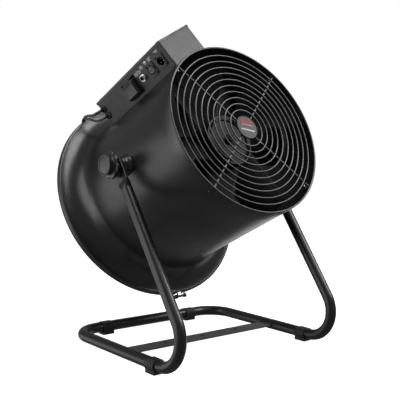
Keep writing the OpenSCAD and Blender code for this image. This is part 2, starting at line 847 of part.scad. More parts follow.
module at_board_corners() {
    for (x = [board_x + 5, board_x + board_w - 5], s = [board_s + 5, board_s + board_l - 5])
        translate([x, 0, s]) rotate([-90, 0, 0]) children();
}

module board_spacers() {
    color(brass) on_box() at_board_corners() translate([0, 0, tray_y + wall_t])
        cylinder(r = 2.8, h = board_y - tray_y - wall_t, $fn = fn_small);
}

module circuit_board() {
    color(board_green) on_box() {
        difference() {
            translate([board_x, board_y, board_s]) cube([board_w, board_t, board_l]);
            at_board_corners() cylinder(r = 1.6, h = 2 * board_y, $fn = fn_small);
        }
        for (i = [0 : 3]) translate([board_x + 8 + 11 * i, board_y + board_t, board_s + 82])
            cube([7, 4, 12]);
        translate([board_x + 30, board_y + board_t, board_s + 60]) cube([14, 9, 14]);
    }
}

module power_module() {
    color(casting) on_box() translate([board_x + 10, board_y + board_t, board_s + 12]) {
        cube([34, 4, 40]);
        for (i = [0 : 5]) translate([i * 6.2, 3, 0]) cube([2.6, 20, 40]);
    }
}

module run_capacitor() {
    color([0.75, 0.75, 0.72]) on_box() translate([26, tray_y + wall_t + 18, -box_back + 12])
        cylinder(r = 17.8, h = 62);
}

module terminal_block() {
    color([0.85, 0.83, 0.75]) on_box() translate([-26, tray_y + wall_t, -58]) difference() {
        cube([16, 16, 42]);
        for (i = [0 : 3]) translate([8, 20, 6 + i * 10]) rotate([90, 0, 0])
            cylinder(r = 2.4, h = 12, $fn = fn_small);
    }
}

// ---- Connectors on the side panel ----

module socket_plate() {
    difference() {
        translate([-plate_w / 2, -plate_h / 2, touch_gap]) cube([plate_w, plate_h, plate_t]);
        for (i = [-1, 1]) translate([i * socket_screw.x, -i * socket_screw.y, -cut])
            cylinder(r = 1.6, h = plate_t + 3 * cut, $fn = fn_small);
    }
}

module at_socket(s) on_panel() translate([s, socket_y, 0]) children();

module at_pins() {
    for (a = [90, 210, 330]) rotate([0, 0, a]) translate([pin_circle_r, 0, 0]) children();
}

module socket_barrel() {
    translate([0, 0, -socket_depth]) cylinder(r = socket_r, h = socket_depth + plate_t + 1, $fn = 48);
}

module data_in() {
    color(dark) at_socket(data_in_s) difference() {
        union() {
            socket_plate();
            socket_barrel();
        }
        translate([0, 0, -14]) cylinder(r = 9.6, h = 20, $fn = 48);
    }
}

module data_in_pins() {
    color(brass) at_socket(data_in_s) at_pins() translate([0, 0, -14])
        cylinder(r = 1.25, h = 12.5, $fn = fn_small);
}

module data_out() {
    color(dark) at_socket(data_out_s) difference() {
        union() {
            socket_plate();
            socket_barrel();
        }
        translate([0, 0, -12]) ring(10.4, 9, 20);
        at_pins() translate([0, 0, -12]) cylinder(r = 1.6, h = 20, $fn = fn_small);
        latch_slot(latch_gap);
    }
}

// Slot of the push latch at the top of the outgoing data socket
module latch_slot(gap) {
    translate([-latch_w / 2 - gap, latch_y - gap, -8])
        cube([latch_w + 2 * gap, latch_t + 2 * gap, 20]);
}

module data_out_contacts() {
    color(brass) at_socket(data_out_s) at_pins() translate([0, 0, -11.9])
        ring(1.55, 1.1, 11, $fn = fn_small);
}

module data_out_latch() {
    color(chrome) at_socket(data_out_s) translate([-latch_w / 2, latch_y, -4])
        cube([latch_w, latch_t, 9.5]);
}

module connector_screws() {
    color(chrome) for (s = [data_in_s, data_out_s]) at_socket(s)
        for (i = [-1, 1]) translate([i * socket_screw.x, -i * socket_screw.y, plate_t + 2 * touch_gap])
            pan_screw(2.7, 1.6, 1.4, 8);
}

module remote_jack() {
    color(dark) at_socket(jack_s) difference() {
        union() {
            translate([0, 0, -24]) cylinder(r = 5.5, h = 32, $fn = fn_small);
            translate([0, 0, -26]) cylinder(r = 8.5, h = 24.3, $fn = fn_small);
        }
        translate([0, 0, -22]) cylinder(r = 3.2, h = 40, $fn = fn_small);
    }
}

module jack_nut() {
    color(chrome) at_socket(jack_s) translate([0, 0, touch_gap]) {
        ring(8.2, 5.55, 3, $fn = 48);
        translate([0, 0, 3]) ring(7, 5.55, 3.6, $fn = 48);
    }
}

module status_led() {
    color([0.95, 0.95, 0.9]) on_panel() translate([led_pos.x, led_pos.y, 0]) {
        translate([0, 0, -5]) cylinder(r = 2.5, h = 6.5, $fn = fn_small);
        translate([0, 0, touch_gap]) cylinder(r = 3.8, h = 1, $fn = fn_small);
        translate([0, 0, 1.5]) intersection() {
            sphere(r = 2.5, $fn = fn_small);
            translate([-3, -3, 0]) cube(6);
        }
    }
}

// Inlet frame: middle of the mains inlet, z out of the panel
module on_inlet() on_panel() translate([inlet_pos.x, inlet_pos.y, 0]) children();

module hinge_frame() on_panel() translate([inlet_pos.x, hinge_y, hinge_z]) rotate([0, 90, 0]) children();

module mains_inlet() {
    cavity = inlet_cavity;
    color(dark) {
        on_inlet() difference() {
            union() {
                translate([-inlet_w / 2, -inlet_h / 2, touch_gap]) cube([inlet_w, inlet_h, inlet_t]);
                translate([-16.5, -12.5, -24]) cube([33, 25, 24 + inlet_t]);
            }
            translate([-cavity.x / 2, -cavity.y / 2, inlet_t - cavity.z]) cube(cavity + [0, 0, 5]);
        }
        for (end = [-1, 1]) difference() {
            union() {
                hinge_frame() translate([0, 0, end * (lid_w / 2 - knuckle_l / 2) - knuckle_l / 2])
                    cylinder(r = hinge_r, h = knuckle_l, $fn = fn_small);
                on_panel() translate([inlet_pos.x + end * (lid_w / 2 - knuckle_l / 2) - knuckle_l / 2,
                    hinge_y - 2, inlet_t / 2]) cube([knuckle_l, 4, hinge_z - inlet_t / 2]);
            }
            hinge_frame() cylinder(r = hinge_pin_r, h = 2 * lid_w, center = true, $fn = fn_small);
        }
    }
}

module inlet_pins() {
    color(brass) on_inlet() for (p = [[-7, -2], [0, 4], [7, -2]])
        translate([p.x - 1, p.y - 2.5, inlet_t - inlet_cavity.z]) cube([2, 5, 12]);
}

module lid_pin() {
    color(steel) hinge_frame() cylinder(r = hinge_pin_r, h = lid_w, center = true, $fn = fn_small);
}

// Splash lid over the mains inlet, closed: a hollow cap with sloping sides
module inlet_lid() {
    base_z = inlet_t + 0.6;
    low_y = hinge_y - 3.5 - lid_h;
    knuckle_half = lid_w / 2 - knuckle_l - 0.4;
    color([0.09, 0.09, 0.1]) {
        difference() {
            on_panel() translate([inlet_pos.x, low_y, base_z]) lid_block(lid_w, lid_h, lid_t);
            on_panel() translate([inlet_pos.x, low_y + 4, base_z - cut])
                lid_block(lid_w - 8, lid_h - 8, lid_t - 2);
        }
        difference() {
            union() {
                hinge_frame() cylinder(r = hinge_r, h = 2 * knuckle_half, center = true, $fn = fn_small);
                on_panel() translate([inlet_pos.x - knuckle_half, hinge_y - 6, hinge_z - 1])
                    cube([2 * knuckle_half, 6, 3.2]);
            }
            hinge_frame()
                cylinder(r = hinge_pin_r + run_gap, h = 2 * lid_w, center = true, $fn = fn_small);
        }
    }
}

// Block with a chamfer round its top, standing on z = 0 and starting at y = 0
module lid_block(w, l, h) {
    bevel = 5;
    intersection() {
        translate([-w / 2, 0, 0]) cube([w, l, h]);
        translate([-w / 2, 0, 0]) rotate([90, 0, 90]) linear_extrude(w)
            polygon([[0, 0], [l, 0], [l, h - bevel], [l - bevel, h], [bevel, h], [0, h - bevel]]);
        translate([0, l, 0]) rotate([90, 0, 0]) linear_extrude(l)
            polygon([[-w / 2, 0], [w / 2, 0], [w / 2, h - bevel], [w / 2 - bevel, h],
                [bevel - w / 2, h], [-w / 2, h - bevel]]);
    }
}

// ---- Cables ----

module cable_grommets() {
    color(rubber) on_panel() for (i = [0, 1]) translate([grommet_s, grommet_y[i], 0]) {
        difference() {
            union() {
                translate([0, 0, -4]) cylinder(r = 6.8, h = 6, $fn = fn_small);
                translate([0, 0, touch_gap]) cylinder(r = 9, h = 3, $fn = fn_small);
                translate([0, 0, -wall_t - 2.6]) cylinder(r = 7.3, h = 2.5, $fn = fn_small);
            }
            translate([0, 0, -12]) cylinder(r = cable_bore(i), h = 24, $fn = fn_small);
        }
    }
}

function blend_point(a, b, c, d, t) =
    0.5 * (2 * b + (c - a) * t + (2 * a - 5 * b + 4 * c - d) * t * t
        + (3 * b - a - 3 * c + d) * t * t * t);
function smooth_route(p, n) = let (last = len(p) - 1) concat(
    [for (i = [0 : last - 1], j = [0 : n - 1])
        blend_point(p[max(i - 1, 0)], p[i], p[i + 1], p[min(i + 2, last)], j / n)],
    [p[last]]);
function unit(v) = v / norm(v);
function heading(p, i) = unit(p[min(i + 1, len(p) - 1)] - p[max(i - 1, 0)]);
function side_of(v) = unit(cross(v, [0.31, 0.17, 0.94]));

module cable(route, d) {
    path = smooth_route(route, cable_steps);
    rings = len(path);
    points = [for (i = [0 : rings - 1])
        let (h = heading(path, i), a = side_of(h), b = cross(h, a))
            for (j = [0 : cable_sides - 1])
                path[i] + d / 2 * (cos(360 * j / cable_sides) * a + sin(360 * j / cable_sides) * b)];
    walls = [for (i = [0 : rings - 2], j = [0 : cable_sides - 1])
        let (k = (j + 1) % cable_sides, base = i * cable_sides)
            [base + j, base + cable_sides + j, base + cable_sides + k, base + k]];
    start = [for (j = [0 : cable_sides - 1]) j];
    end = [for (j = [cable_sides - 1 : -1 : 0]) (rings - 1) * cable_sides + j];
    polyhedron(points, concat(walls, [start], [end]));
}

module motor_cable() color(rubber) on_box() cable(motor_cable_route, motor_cable_d);
module speed_cable() color(rubber) on_box() cable(speed_cable_route, speed_cable_d);

// Ties that strap both cables to the straight wire that they run along
module cable_ties() {
    color(dark) on_box() for (y = tie_at) translate([tie_mid, y, tie_s]) rotate([90, 0, 0])
        translate([0, 0, -tie_w / 2]) linear_extrude(tie_w) difference() {
            translate(-tie_out / 2) square(tie_out);
            translate([tie_wall, tie_wall] - tie_out / 2) square(tie_out - 2 * [tie_wall, tie_wall]);
        }
}

stand_tube();
cross_bar();
side_foot(-1);  // foot_front_left
side_foot(1);  // foot_front_right
rear_foot(-1);  // foot_rear_left
rear_foot(1);  // foot_rear_right
drum_shell();
inlet_bell();
rear_ring();
clamp_band();
clamp_bolt();
clamp_nut();
rear_guard();
front_guard();
guard_badge();
guard_screws();
guard_nuts();
pivot_bosses();
tilt_washers();
motor_bracket();
motor_casing();
motor_front_cap();
motor_rear_cap();
motor_stator();
motor_windings();
motor_bearings();
control_box();
box_lid();
box_screws();
box_tray();
circuit_board();
board_spacers();
power_module();
run_capacitor();
terminal_block();
data_in();
data_in_pins();
data_out();
data_out_contacts();
connector_screws();
remote_jack();
jack_nut();
status_led();
mains_inlet();
inlet_pins();
lid_pin();
cable_grommets();
motor_glands();
motor_cable();
speed_cable();
cable_ties();
impeller_hub();
impeller_blades();
motor_shaft();
motor_rotor();
hub_nut();
knob(-1);  // knob_left
knob(1);  // knob_right
inlet_lid();
data_out_latch();
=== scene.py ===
import json
import math

import bmesh
import bpy
from mathutils import Matrix, Vector, noise


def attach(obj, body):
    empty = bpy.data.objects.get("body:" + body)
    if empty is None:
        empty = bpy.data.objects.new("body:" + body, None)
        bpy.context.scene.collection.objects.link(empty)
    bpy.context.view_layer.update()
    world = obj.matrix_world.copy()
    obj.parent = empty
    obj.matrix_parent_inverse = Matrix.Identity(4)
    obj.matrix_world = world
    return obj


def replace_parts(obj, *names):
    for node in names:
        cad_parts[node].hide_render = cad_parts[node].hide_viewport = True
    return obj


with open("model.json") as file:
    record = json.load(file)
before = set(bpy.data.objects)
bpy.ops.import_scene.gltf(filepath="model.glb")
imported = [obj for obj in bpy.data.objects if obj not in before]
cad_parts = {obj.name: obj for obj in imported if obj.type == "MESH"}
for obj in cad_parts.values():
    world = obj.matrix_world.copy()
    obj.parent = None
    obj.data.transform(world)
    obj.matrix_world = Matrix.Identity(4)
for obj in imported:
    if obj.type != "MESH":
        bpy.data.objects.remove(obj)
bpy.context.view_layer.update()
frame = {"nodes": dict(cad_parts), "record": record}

# ---- Frames: local coordinates in millimetres, axes as in the CAD model ----

JOINTS = {j["name"]: j for j in frame["record"]["behaviour"]["joints"]}
PIVOT = Vector(JOINTS["drum_tilt"]["pos_m"])
AXIS_POINT = Vector(JOINTS["fan_spin"]["pos_m"])
STREAM = Vector(JOINTS["fan_spin"]["axis"])
BOX_TURN, LEAN = 30, 35.5                   # degrees: the box round the drum, the legs from upright
WALL_U = 54                                 # half the box's width
LEG_DIR = math.radians(270 - LEAN)
X, Y, Z = Vector((1, 0, 0)), Vector((0, 1, 0)), Vector((0, 0, 1))


def facing(x, y, z):
    """Matrix that lays the local axes along x, y and z."""
    return Matrix((x, y, z)).transposed().to_4x4()


def shift(x, y, z):
    return Matrix.Translation((x, y, z))


def spin(angle, axis):
    return Matrix.Rotation(math.radians(angle), 4, axis)


def axes(origin, x, y, z):
    """Matrix from a local frame in millimetres to the row frame in metres."""
    m = facing(x, y, z)
    m.translation = Vector(origin)
    return m @ Matrix.Scale(0.001, 4)


ROW = axes((0, 0, 0), X, Y, Z)
DRUM = axes(AXIS_POINT, X, STREAM.cross(X), STREAM)
BOX = DRUM @ spin(BOX_TURN, "Z")
PANEL = BOX @ shift(-WALL_U, 0, 0) @ facing(Z, Y, -X)
LEG_DOWN = Vector((0, math.cos(LEG_DIR), math.sin(LEG_DIR)))
LEG_SIDE = Vector((0, -math.sin(LEG_DIR), math.cos(LEG_DIR)))


def at_panel(s, v, z=0.0):
    return PANEL @ shift(s, v, z)


# ---- Materials: all procedural, in object coordinates ----

DUST = (0.32, 0.31, 0.3)
WHITE = (1, 1, 1, 1)


def put(node, values):
    for socket, value in values.items():
        node.inputs[socket].default_value = value


def tint(color, k):
    return tuple(min(1.0, c * k) for c in color)


def finish(name, color, rough, metal=0.0, specular=0.5, coat=0.0, vary=0.12, patch_scale=9, rough_vary=0.06,
           stretch=(1, 1, 1), grain=0.0, grain_scale=900, stipple="noise", dust=0.0, edge_wear_and_sheen=0.0,
           edge_wear_and_sheen_color=(0.3, 0.3, 0.3)):
    """Principled material: blotchy colour, uneven gloss, surface grain, dust on top faces, edges lightened as
    wear and as a painted edge highlight.
    """
    m = bpy.data.materials.new(name)
    m.use_nodes = True
    m.diffuse_color = (*color, 1)
    nodes, link = m.node_tree.nodes, m.node_tree.links.new
    shader = nodes["Principled BSDF"]
    put(shader, {"Metallic": metal, "Specular IOR Level": specular, "Coat Weight": coat,
                 "Coat Roughness": 0.1})
    where = nodes.new("ShaderNodeTexCoord")
    scaled = nodes.new("ShaderNodeMapping")
    put(scaled, {"Scale": stretch})
    link(where.outputs["Object"], scaled.inputs["Vector"])

    def speckle(scale, detail=4.0):
        n = nodes.new("ShaderNodeTexNoise")
        put(n, {"Scale": scale, "Detail": detail})
        link(scaled.outputs[0], n.inputs["Vector"])
        return n.outputs["Fac"]

    def map_range(source, from_min, from_max, to_min, to_max):
        n = nodes.new("ShaderNodeMapRange")
        put(n, {"From Min": from_min, "From Max": from_max, "To Min": to_min, "To Max": to_max})
        link(source, n.inputs["Value"])
        return n.outputs["Result"]

    def layer(under, amount, breakup, over):
        """Mixes a colour over another by an amount that noise breaks up."""
        times = nodes.new("ShaderNodeMath")
        times.operation = "MULTIPLY"
        link(amount, times.inputs[0])
        link(breakup, times.inputs[1])
        mix = nodes.new("ShaderNodeMixRGB")
        put(mix, {"Color2": (*over, 1)})
        link(times.outputs[0], mix.inputs["Fac"])
        link(under, mix.inputs["Color1"])
        return mix.outputs["Color"]

    patches = nodes.new("ShaderNodeValToRGB")
    for stop, place, k in zip(patches.color_ramp.elements, (0.3, 0.7), (1 - vary, 1 + vary)):
        stop.position, stop.color = place, (*tint(color, k), 1)
    link(speckle(patch_scale), patches.inputs["Fac"])
    result = patches.outputs["Color"]
    if dust:
        up = nodes.new("ShaderNodeNewGeometry")
        split = nodes.new("ShaderNodeSeparateXYZ")
        link(up.outputs["Normal"], split.inputs[0])
        result = layer(result, map_range(split.outputs["Z"], 0.55, 1.0, 0, dust), speckle(260, 6), DUST)
    # Edges lightened towards the wear colour: partly real wear, partly a painted highlight along edges that
    # catch the light.
    if edge_wear_and_sheen:
        soft = nodes.new("ShaderNodeBevel")
        soft.samples = 4
        put(soft, {"Radius": 0.0012})
        flat = nodes.new("ShaderNodeNewGeometry")
        dot = nodes.new("ShaderNodeVectorMath")
        dot.operation = "DOT_PRODUCT"
        link(soft.outputs["Normal"], dot.inputs[0])
        link(flat.outputs["Normal"], dot.inputs[1])
        edges = map_range(dot.outputs["Value"], 0.985, 0.85, 0, edge_wear_and_sheen)
        result = layer(result, edges, speckle(140, 5), edge_wear_and_sheen_color)
    link(result, shader.inputs["Base Color"])
    gloss = map_range(speckle(patch_scale * 5, 3), 0.3, 0.7, max(0.02, rough - rough_vary), rough + rough_vary)
    link(gloss, shader.inputs["Roughness"])
    if grain:
        bump = nodes.new("ShaderNodeBump")
        put(bump, {"Strength": grain, "Distance": 0.0003})
        if stipple == "cells":
            cells = nodes.new("ShaderNodeTexVoronoi")
            put(cells, {"Scale": grain_scale})
            link(scaled.outputs[0], cells.inputs["Vector"])
            link(cells.outputs["Distance"], bump.inputs["Height"])
        else:
            link(speckle(grain_scale, 3), bump.inputs["Height"])
        link(bump.outputs["Normal"], shader.inputs["Normal"])
    return m


def wound_copper():
    """Enamelled wire turns: fine waves along the motor's axis."""
    m = finish("copper_turns", (0.5, 0.2, 0.08), 0.3, metal=1.0, vary=0.25, patch_scale=40)
    nodes, link = m.node_tree.nodes, m.node_tree.links.new
    turns = nodes.new("ShaderNodeTexWave")
    put(turns, {"Scale": 260, "Distortion": 1.5})
    where = nodes.new("ShaderNodeTexCoord")
    link(where.outputs["Object"], turns.inputs["Vector"])
    bump = nodes.new("ShaderNodeBump")
    put(bump, {"Strength": 0.8, "Distance": 0.0005})
    link(turns.outputs["Fac"], bump.inputs["Height"])
    link(bump.outputs["Normal"], nodes["Principled BSDF"].inputs["Normal"])
    return m


M = {
    "tube": finish("tube_powder_coat", (0.007, 0.007, 0.0078), 0.36, grain=0.01, grain_scale=300, vary=0.1,
                   specular=0.42),
    "bar": finish("bar_powder_coat", (0.05, 0.052, 0.05), 0.5, grain=0.1, grain_scale=700, edge_wear_and_sheen=0.3),
    "rubber": finish("moulded_rubber", (0.014, 0.014, 0.014), 0.62, grain=0.35, grain_scale=1500,
                     rough_vary=0.1, dust=0.05, specular=0.35),
    "drum": finish("drum_satin_paint", (0.009, 0.0093, 0.01), 0.34, grain=0.012, grain_scale=180, vary=0.1,
                   rough_vary=0.03),
    "bell": finish("bell_satin_paint", (0.012, 0.0123, 0.013), 0.3, grain=0.012, grain_scale=160,
                   rough_vary=0.03),
    "band": finish("band_paint", (0.014, 0.014, 0.015), 0.32, grain=0.12, grain_scale=500, edge_wear_and_sheen=0.5),
    "wire": finish("wire_powder_coat", (0.03, 0.03, 0.032), 0.34, grain=0.12, grain_scale=800, vary=0.15,
                   edge_wear_and_sheen=0.2),
    "box": finish("box_powder_coat", (0.013, 0.0137, 0.0145), 0.42, grain=0.2, grain_scale=1100,
                  stipple="cells"),
    "zinc": finish("zinc_plate", (0.42, 0.42, 0.4), 0.34, metal=1.0, grain=0.1, grain_scale=600, vary=0.2,
                   patch_scale=90),
    "black_zinc": finish("black_zinc_plate", (0.02, 0.02, 0.021), 0.4, metal=0.2, grain=0.1, grain_scale=600,
                         vary=0.2, patch_scale=90),
    "nickel": finish("nickel_plate", (0.62, 0.61, 0.58), 0.16, metal=1.0, grain=0.04, vary=0.08,
                     patch_scale=60),
    "cast": finish("cast_alloy", (0.28, 0.285, 0.29), 0.48, metal=0.9, grain=0.5, grain_scale=650,
                   stipple="cells", vary=0.15, patch_scale=30),
    "steel": finish("turned_steel", (0.45, 0.45, 0.46), 0.28, metal=1.0, grain=0.2, grain_scale=700,
                    stretch=(1, 8, 8), vary=0.1, patch_scale=40),
    "copper": wound_copper(),
    "board": finish("board_mask", (0.01, 0.09, 0.03), 0.3, grain=0.25, grain_scale=520, stipple="cells",
                    vary=0.2, patch_scale=120, coat=0.3),
    # Gold darkened below plating's own colour: painted shade, so the recessed contacts and pins read dark.
    "gold": finish("gold_plate_dimmed_as_shade", (0.4, 0.28, 0.11), 0.3, metal=1.0, vary=0.08, patch_scale=300, grain=0.05,
                   grain_scale=1500),
    "cream": finish("cream_plastic", (0.62, 0.6, 0.52), 0.35, grain=0.08, grain_scale=1400, vary=0.06),
    "plastic": finish("black_moulded_plastic", (0.01, 0.01, 0.0105), 0.36, grain=0.12, grain_scale=1300,
                      edge_wear_and_sheen=0.2, edge_wear_and_sheen_color=(0.09, 0.09, 0.09)),
    "gloss": finish("black_gloss_plastic", (0.012, 0.012, 0.013), 0.16, grain=0.05, vary=0.1),
    # Black plastic made darker and duller than it is: painted shade for the blades, motor shaft and hub nut
    # inside the drum.
    "blade": finish("interior_black_painted_shade", (0.0022, 0.0022, 0.0024), 0.55, grain=0.15, vary=0.15, specular=0.1),
    "hub": finish("hub_grey_paint", (0.007, 0.0073, 0.0078), 0.55, grain=0.1, grain_scale=600, specular=0.2),
    # Hub paint made lighter for the lip face alone: a painted highlight along the hub's rim.
    "rim": finish("hub_lip_painted_highlight", (0.026, 0.0265, 0.027), 0.5, grain=0.1, grain_scale=700, vary=0.15,
                  patch_scale=60, specular=0.4),
    "jacket": finish("cable_jacket", (0.01, 0.01, 0.0105), 0.2, grain=0.08, grain_scale=500, vary=0.1,
                     rough_vary=0.05),
    "knob": finish("knob_plastic", (0.017, 0.017, 0.018), 0.32, grain=0.2, grain_scale=1200, edge_wear_and_sheen=0.5,
                   edge_wear_and_sheen_color=(0.12, 0.12, 0.12)),
    # The knob's black plastic painted lighter grey for the cap face: a painted reflection.
    "knob_cap": finish("knob_cap_painted_reflection", (0.045, 0.044, 0.05), 0.42, grain=0.2, grain_scale=1200, vary=0.08),
    "ink": finish("label_bar_grey", (0.5, 0.5, 0.5), 0.5, grain=0.1, grain_scale=1500, vary=0.25,
                  patch_scale=700),
    "red": finish("badge_red_enamel", (0.22, 0.012, 0.018), 0.5, patch_scale=60, specular=0.15, grain=0.05,
                  grain_scale=700),
    "silver": finish("badge_silver", (0.3, 0.3, 0.3), 0.45, vary=0.1, patch_scale=80, grain=0.08),
    "badge": finish("badge_dark", (0.016, 0.016, 0.017), 0.5, specular=0.3, patch_scale=60, grain=0.1),
    "lamp": finish("lamp_lens", (0.85, 0.85, 0.82), 0.12, vary=0.05, patch_scale=300, coat=0.5, grain=0.03),
    "floor": finish("studio_floor", (0.6, 0.6, 0.6), 0.9, vary=0.01, patch_scale=1.5, specular=0.0),
}
put(M["floor"].node_tree.nodes["Principled BSDF"], {"Emission Color": WHITE, "Emission Strength": 0.95})

# The record's slot that each material stands for, where a piece doesn't name another
SLOTS = {
    "tube": "black_tube", "bar": "grey_bar", "rubber": "black_rubber", "drum": "black_sheet",
    "bell": "black_sheet", "band": "black_sheet", "wire": "black_wire", "box": "box_paint", "ink": "box_paint",
    "zinc": "zinc", "black_zinc": "zinc", "nickel": "bright_steel", "gold": "contact",
    "plastic": "black_plastic", "gloss": "black_plastic", "blade": "black_plastic", "knob": "black_plastic",
    "knob_cap": "black_plastic", "hub": "hub_paint", "rim": "hub_paint", "jacket": "cable_jacket",
    "red": "badge", "silver": "badge", "badge": "badge", "lamp": "white_plastic"}

# ---- Mesh code ----

WELD = 0.004                                # points nearer than this become one
CORNERS = ((1, 1, 0), (-1, 1, 90), (-1, -1, 180), (1, -1, 270))


def build(name, bm, matrix, look, body="drum", slot=None, sharp=34, bevel=0.0):
    """Turns a bmesh in local millimetres into a piece in the row frame, on its body, with its material."""
    bmesh.ops.remove_doubles(bm, verts=bm.verts, dist=WELD)
    bmesh.ops.recalc_face_normals(bm, faces=bm.faces)
    bm.transform(matrix)
    if matrix.determinant() < 0:
        bmesh.ops.reverse_faces(bm, faces=bm.faces)
    mesh = bpy.data.meshes.new(name)
    bm.to_mesh(mesh)
    bm.free()
    mesh.materials.append(M[look])
    for p in mesh.polygons:
        p.use_smooth = True
    mesh.set_sharp_from_angle(angle=math.radians(sharp))
    obj = bpy.data.objects.new(name, mesh)
    bpy.context.scene.collection.objects.link(obj)
    if bevel:
        mod = obj.modifiers.new("edges", "BEVEL")
        mod.width = bevel * 0.001
        mod.segments = 2
        mod.limit_method = "ANGLE"
        mod.angle_limit = math.radians(40)
        mod.harden_normals = True
    if body:
        slot = slot or SLOTS[look]
        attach(obj, body)
    return obj


def skin(rings, closed=True, caps=True, loop=False, bm=None):
    """Joins rings of points into a surface: closed rings, end caps, or a loop of rings."""
    if bm is None:
        bm = bmesh.new()
    made = [[bm.verts.new(p) for p in ring] for ring in rings]
    count = len(made[0])
    for a, b in list(zip(made, made[1:])) + ([(made[-1], made[0])] if loop else []):
        for i in range(count if closed else count - 1):
            j = (i + 1) % count
            bm.faces.new((a[i], a[j], b[j], b[i]))
    if caps and closed and not loop:
        bm.faces.new(made[0])
        bm.faces.new(made[-1])
    return bm


def lathe(profile, steps=96, start=0.0, sweep=360.0, closed=False):
    """Turns (radius, z) points round z. A closed profile makes a ring; a part turn gets end caps."""
    full = abs(sweep - 360.0) < 1e-6
    turns = [math.radians(start + sweep * i / steps) for i in range(steps if full else steps + 1)]
    rings = [[(r * math.cos(a), r * math.sin(a), z) for r, z in profile] for a in turns]
    bm = skin(rings, closed=closed, caps=not full, loop=full)
    bmesh.ops.remove_doubles(bm, verts=bm.verts, dist=WELD)
    return bm


def arc(cx, cy, r, a0, a1, steps):
    turns = [math.radians(a0 + (a1 - a0) * i / steps) for i in range(steps + 1)]
    return [(cx + r * math.cos(a), cy + r * math.sin(a)) for a in turns]


def sweep_tube(path, radius, sides, caps=True):
    """Round tube along a path, with frames carried along so that it never twists. radius: number or list."""
    path = [Vector(p) for p in path]
    last = len(path) - 1
    radii = radius if isinstance(radius, list) else [radius] * len(path)
    normal = None
    rings = []
    for i, p in enumerate(path):
        t = (path[min(i + 1, last)] - path[max(i - 1, 0)]).normalized()
        if normal is None:
            normal = t.orthogonal().normalized()
        normal = (normal - t * normal.dot(t)).normalized()
        other = t.cross(normal)
        turns = [2 * math.pi * k / sides for k in range(sides)]
        rings.append([p + (normal * math.cos(a) + other * math.sin(a)) * radii[i] for a in turns])
    return skin(rings, caps=caps)


def torus(ring_r, wire_r, z, steps, sides):
    return lathe(arc(ring_r, z, wire_r, 0, 360 * (sides - 1) / sides, sides - 1), steps, closed=True)


def slab(outline, holes, z0, z1, bm=None):
    """Flat plate between z0 and z1 with a polygon outline and polygon holes."""
    if bm is None:
        bm = bmesh.new()
    edges = []
    for loop in [outline] + list(holes):
        verts = [bm.verts.new((x, y, z0)) for x, y in loop]
        edges += [bm.edges.new((verts[i], verts[(i + 1) % len(verts)])) for i in range(len(verts))]
    filled = bmesh.ops.triangle_fill(bm, use_beauty=True, use_dissolve=False, edges=edges)
    faces = [f for f in filled["geom"] if isinstance(f, bmesh.types.BMFace)]
    raised = bmesh.ops.extrude_face_region(bm, geom=faces, use_keep_orig=True)
    new = [g for g in raised["geom"] if isinstance(g, bmesh.types.BMVert)]
    bmesh.ops.translate(bm, verts=new, vec=(0, 0, z1 - z0))
    flat = [f for f in bm.faces if len(f.verts) == 3]
    bmesh.ops.recalc_face_normals(bm, faces=bm.faces)
    bmesh.ops.dissolve_limit(bm, angle_limit=0.001, verts=list(dict.fromkeys(v for f in flat for v in f.verts)),
                             edges=list(dict.fromkeys(e for f in flat for e in f.edges)))
    return bm


def rounded(w, h, r, cx=0.0, cy=0.0, steps=6):
    """Rectangle with rounded corners as a list of points."""
    pts = []
    for sx, sy, a in CORNERS:
        pts += arc(cx + sx * (w / 2 - r), cy + sy * (h / 2 - r), r, a, a + 90, steps)
    return pts


def disc(r, cx=0.0, cy=0.0, steps=32):
    return arc(cx, cy, r, 0, 360 * (steps - 1) / steps, steps - 1)


def smooth_path(points, n):
    """Catmull-Rom curve through the points."""
    p = [Vector(q) for q in points]
    out = []
    for i in range(len(p) - 1):
        a, b, c, d = p[max(i - 1, 0)], p[i], p[i + 1], p[min(i + 2, len(p) - 1)]
        for j in range(n):
            t = j / n
            square, cube = 2 * a - 5 * b + 4 * c - d, 3 * b - a - 3 * c + d
            out.append(0.5 * (2 * b + (c - a) * t + square * t * t + cube * t ** 3))
    return out + [p[-1]]


def turned(matrix, bm):
    """Moves what a bmesh holds by a local matrix."""
    bm.transform(matrix)
    return bm


def merged(parts):
    """One bmesh from a list of bmeshes."""
    whole = bmesh.new()
    for part in parts:
        mesh = bpy.data.meshes.new("part")
        part.to_mesh(mesh)
        part.free()
        whole.from_mesh(mesh)
        bpy.data.meshes.remove(mesh)
    return whole


def pan_head(r, h):
    """Domed screw head standing on z = 0, with a round drive recess."""
    return lathe([(r * 0.94, 0), (r, h * 0.12), (r, h * 0.45), (r * 0.93, h * 0.72), (r * 0.75, h * 0.93),
                  (r * 0.55, h), (r * 0.44, h), (r * 0.4, h * 0.5), (0.0, h * 0.42)], 40)


# ---- Stand ----

PIVOT_Y, PIVOT_Z = PIVOT.y * 1000, PIVOT.z * 1000
HALF_W, RAIL_Z, BEND_R, REAR_RAIL, TUBE_R = 220, 18, 64, 192, 12.5
BEND_REACH = BEND_R * math.tan(math.radians((90 + LEAN) / 2))
BEND_Y = PIVOT_Y + BEND_REACH - (PIVOT_Z - RAIL_Z) * math.tan(math.radians(LEAN))
LEG_LEN = (PIVOT_Z - RAIL_Z) / math.cos(math.radians(LEAN)) - BEND_REACH
REAR_Y = PIVOT_Y + REAR_RAIL
BAR_Y, BAR_T, BAR_W = PIVOT_Y - 25, 4, 40
BAR_HOLE_R, BAR_HOLES = 6.5, (-105, 0, 105)
TONGUE_LEN, NECK_LEN = 40, 22               # below the pivot: the flat tongue, then the neck
TONGUE_X, TONGUE_HALF_W, TONGUE_HALF_T, TIP_R = 222.5, 18.0, 2.5, 22
FOOT_Y, FOOT_X, FOOT_R, FOOT_LEN = BEND_Y + 22, 128, 15.7, 30


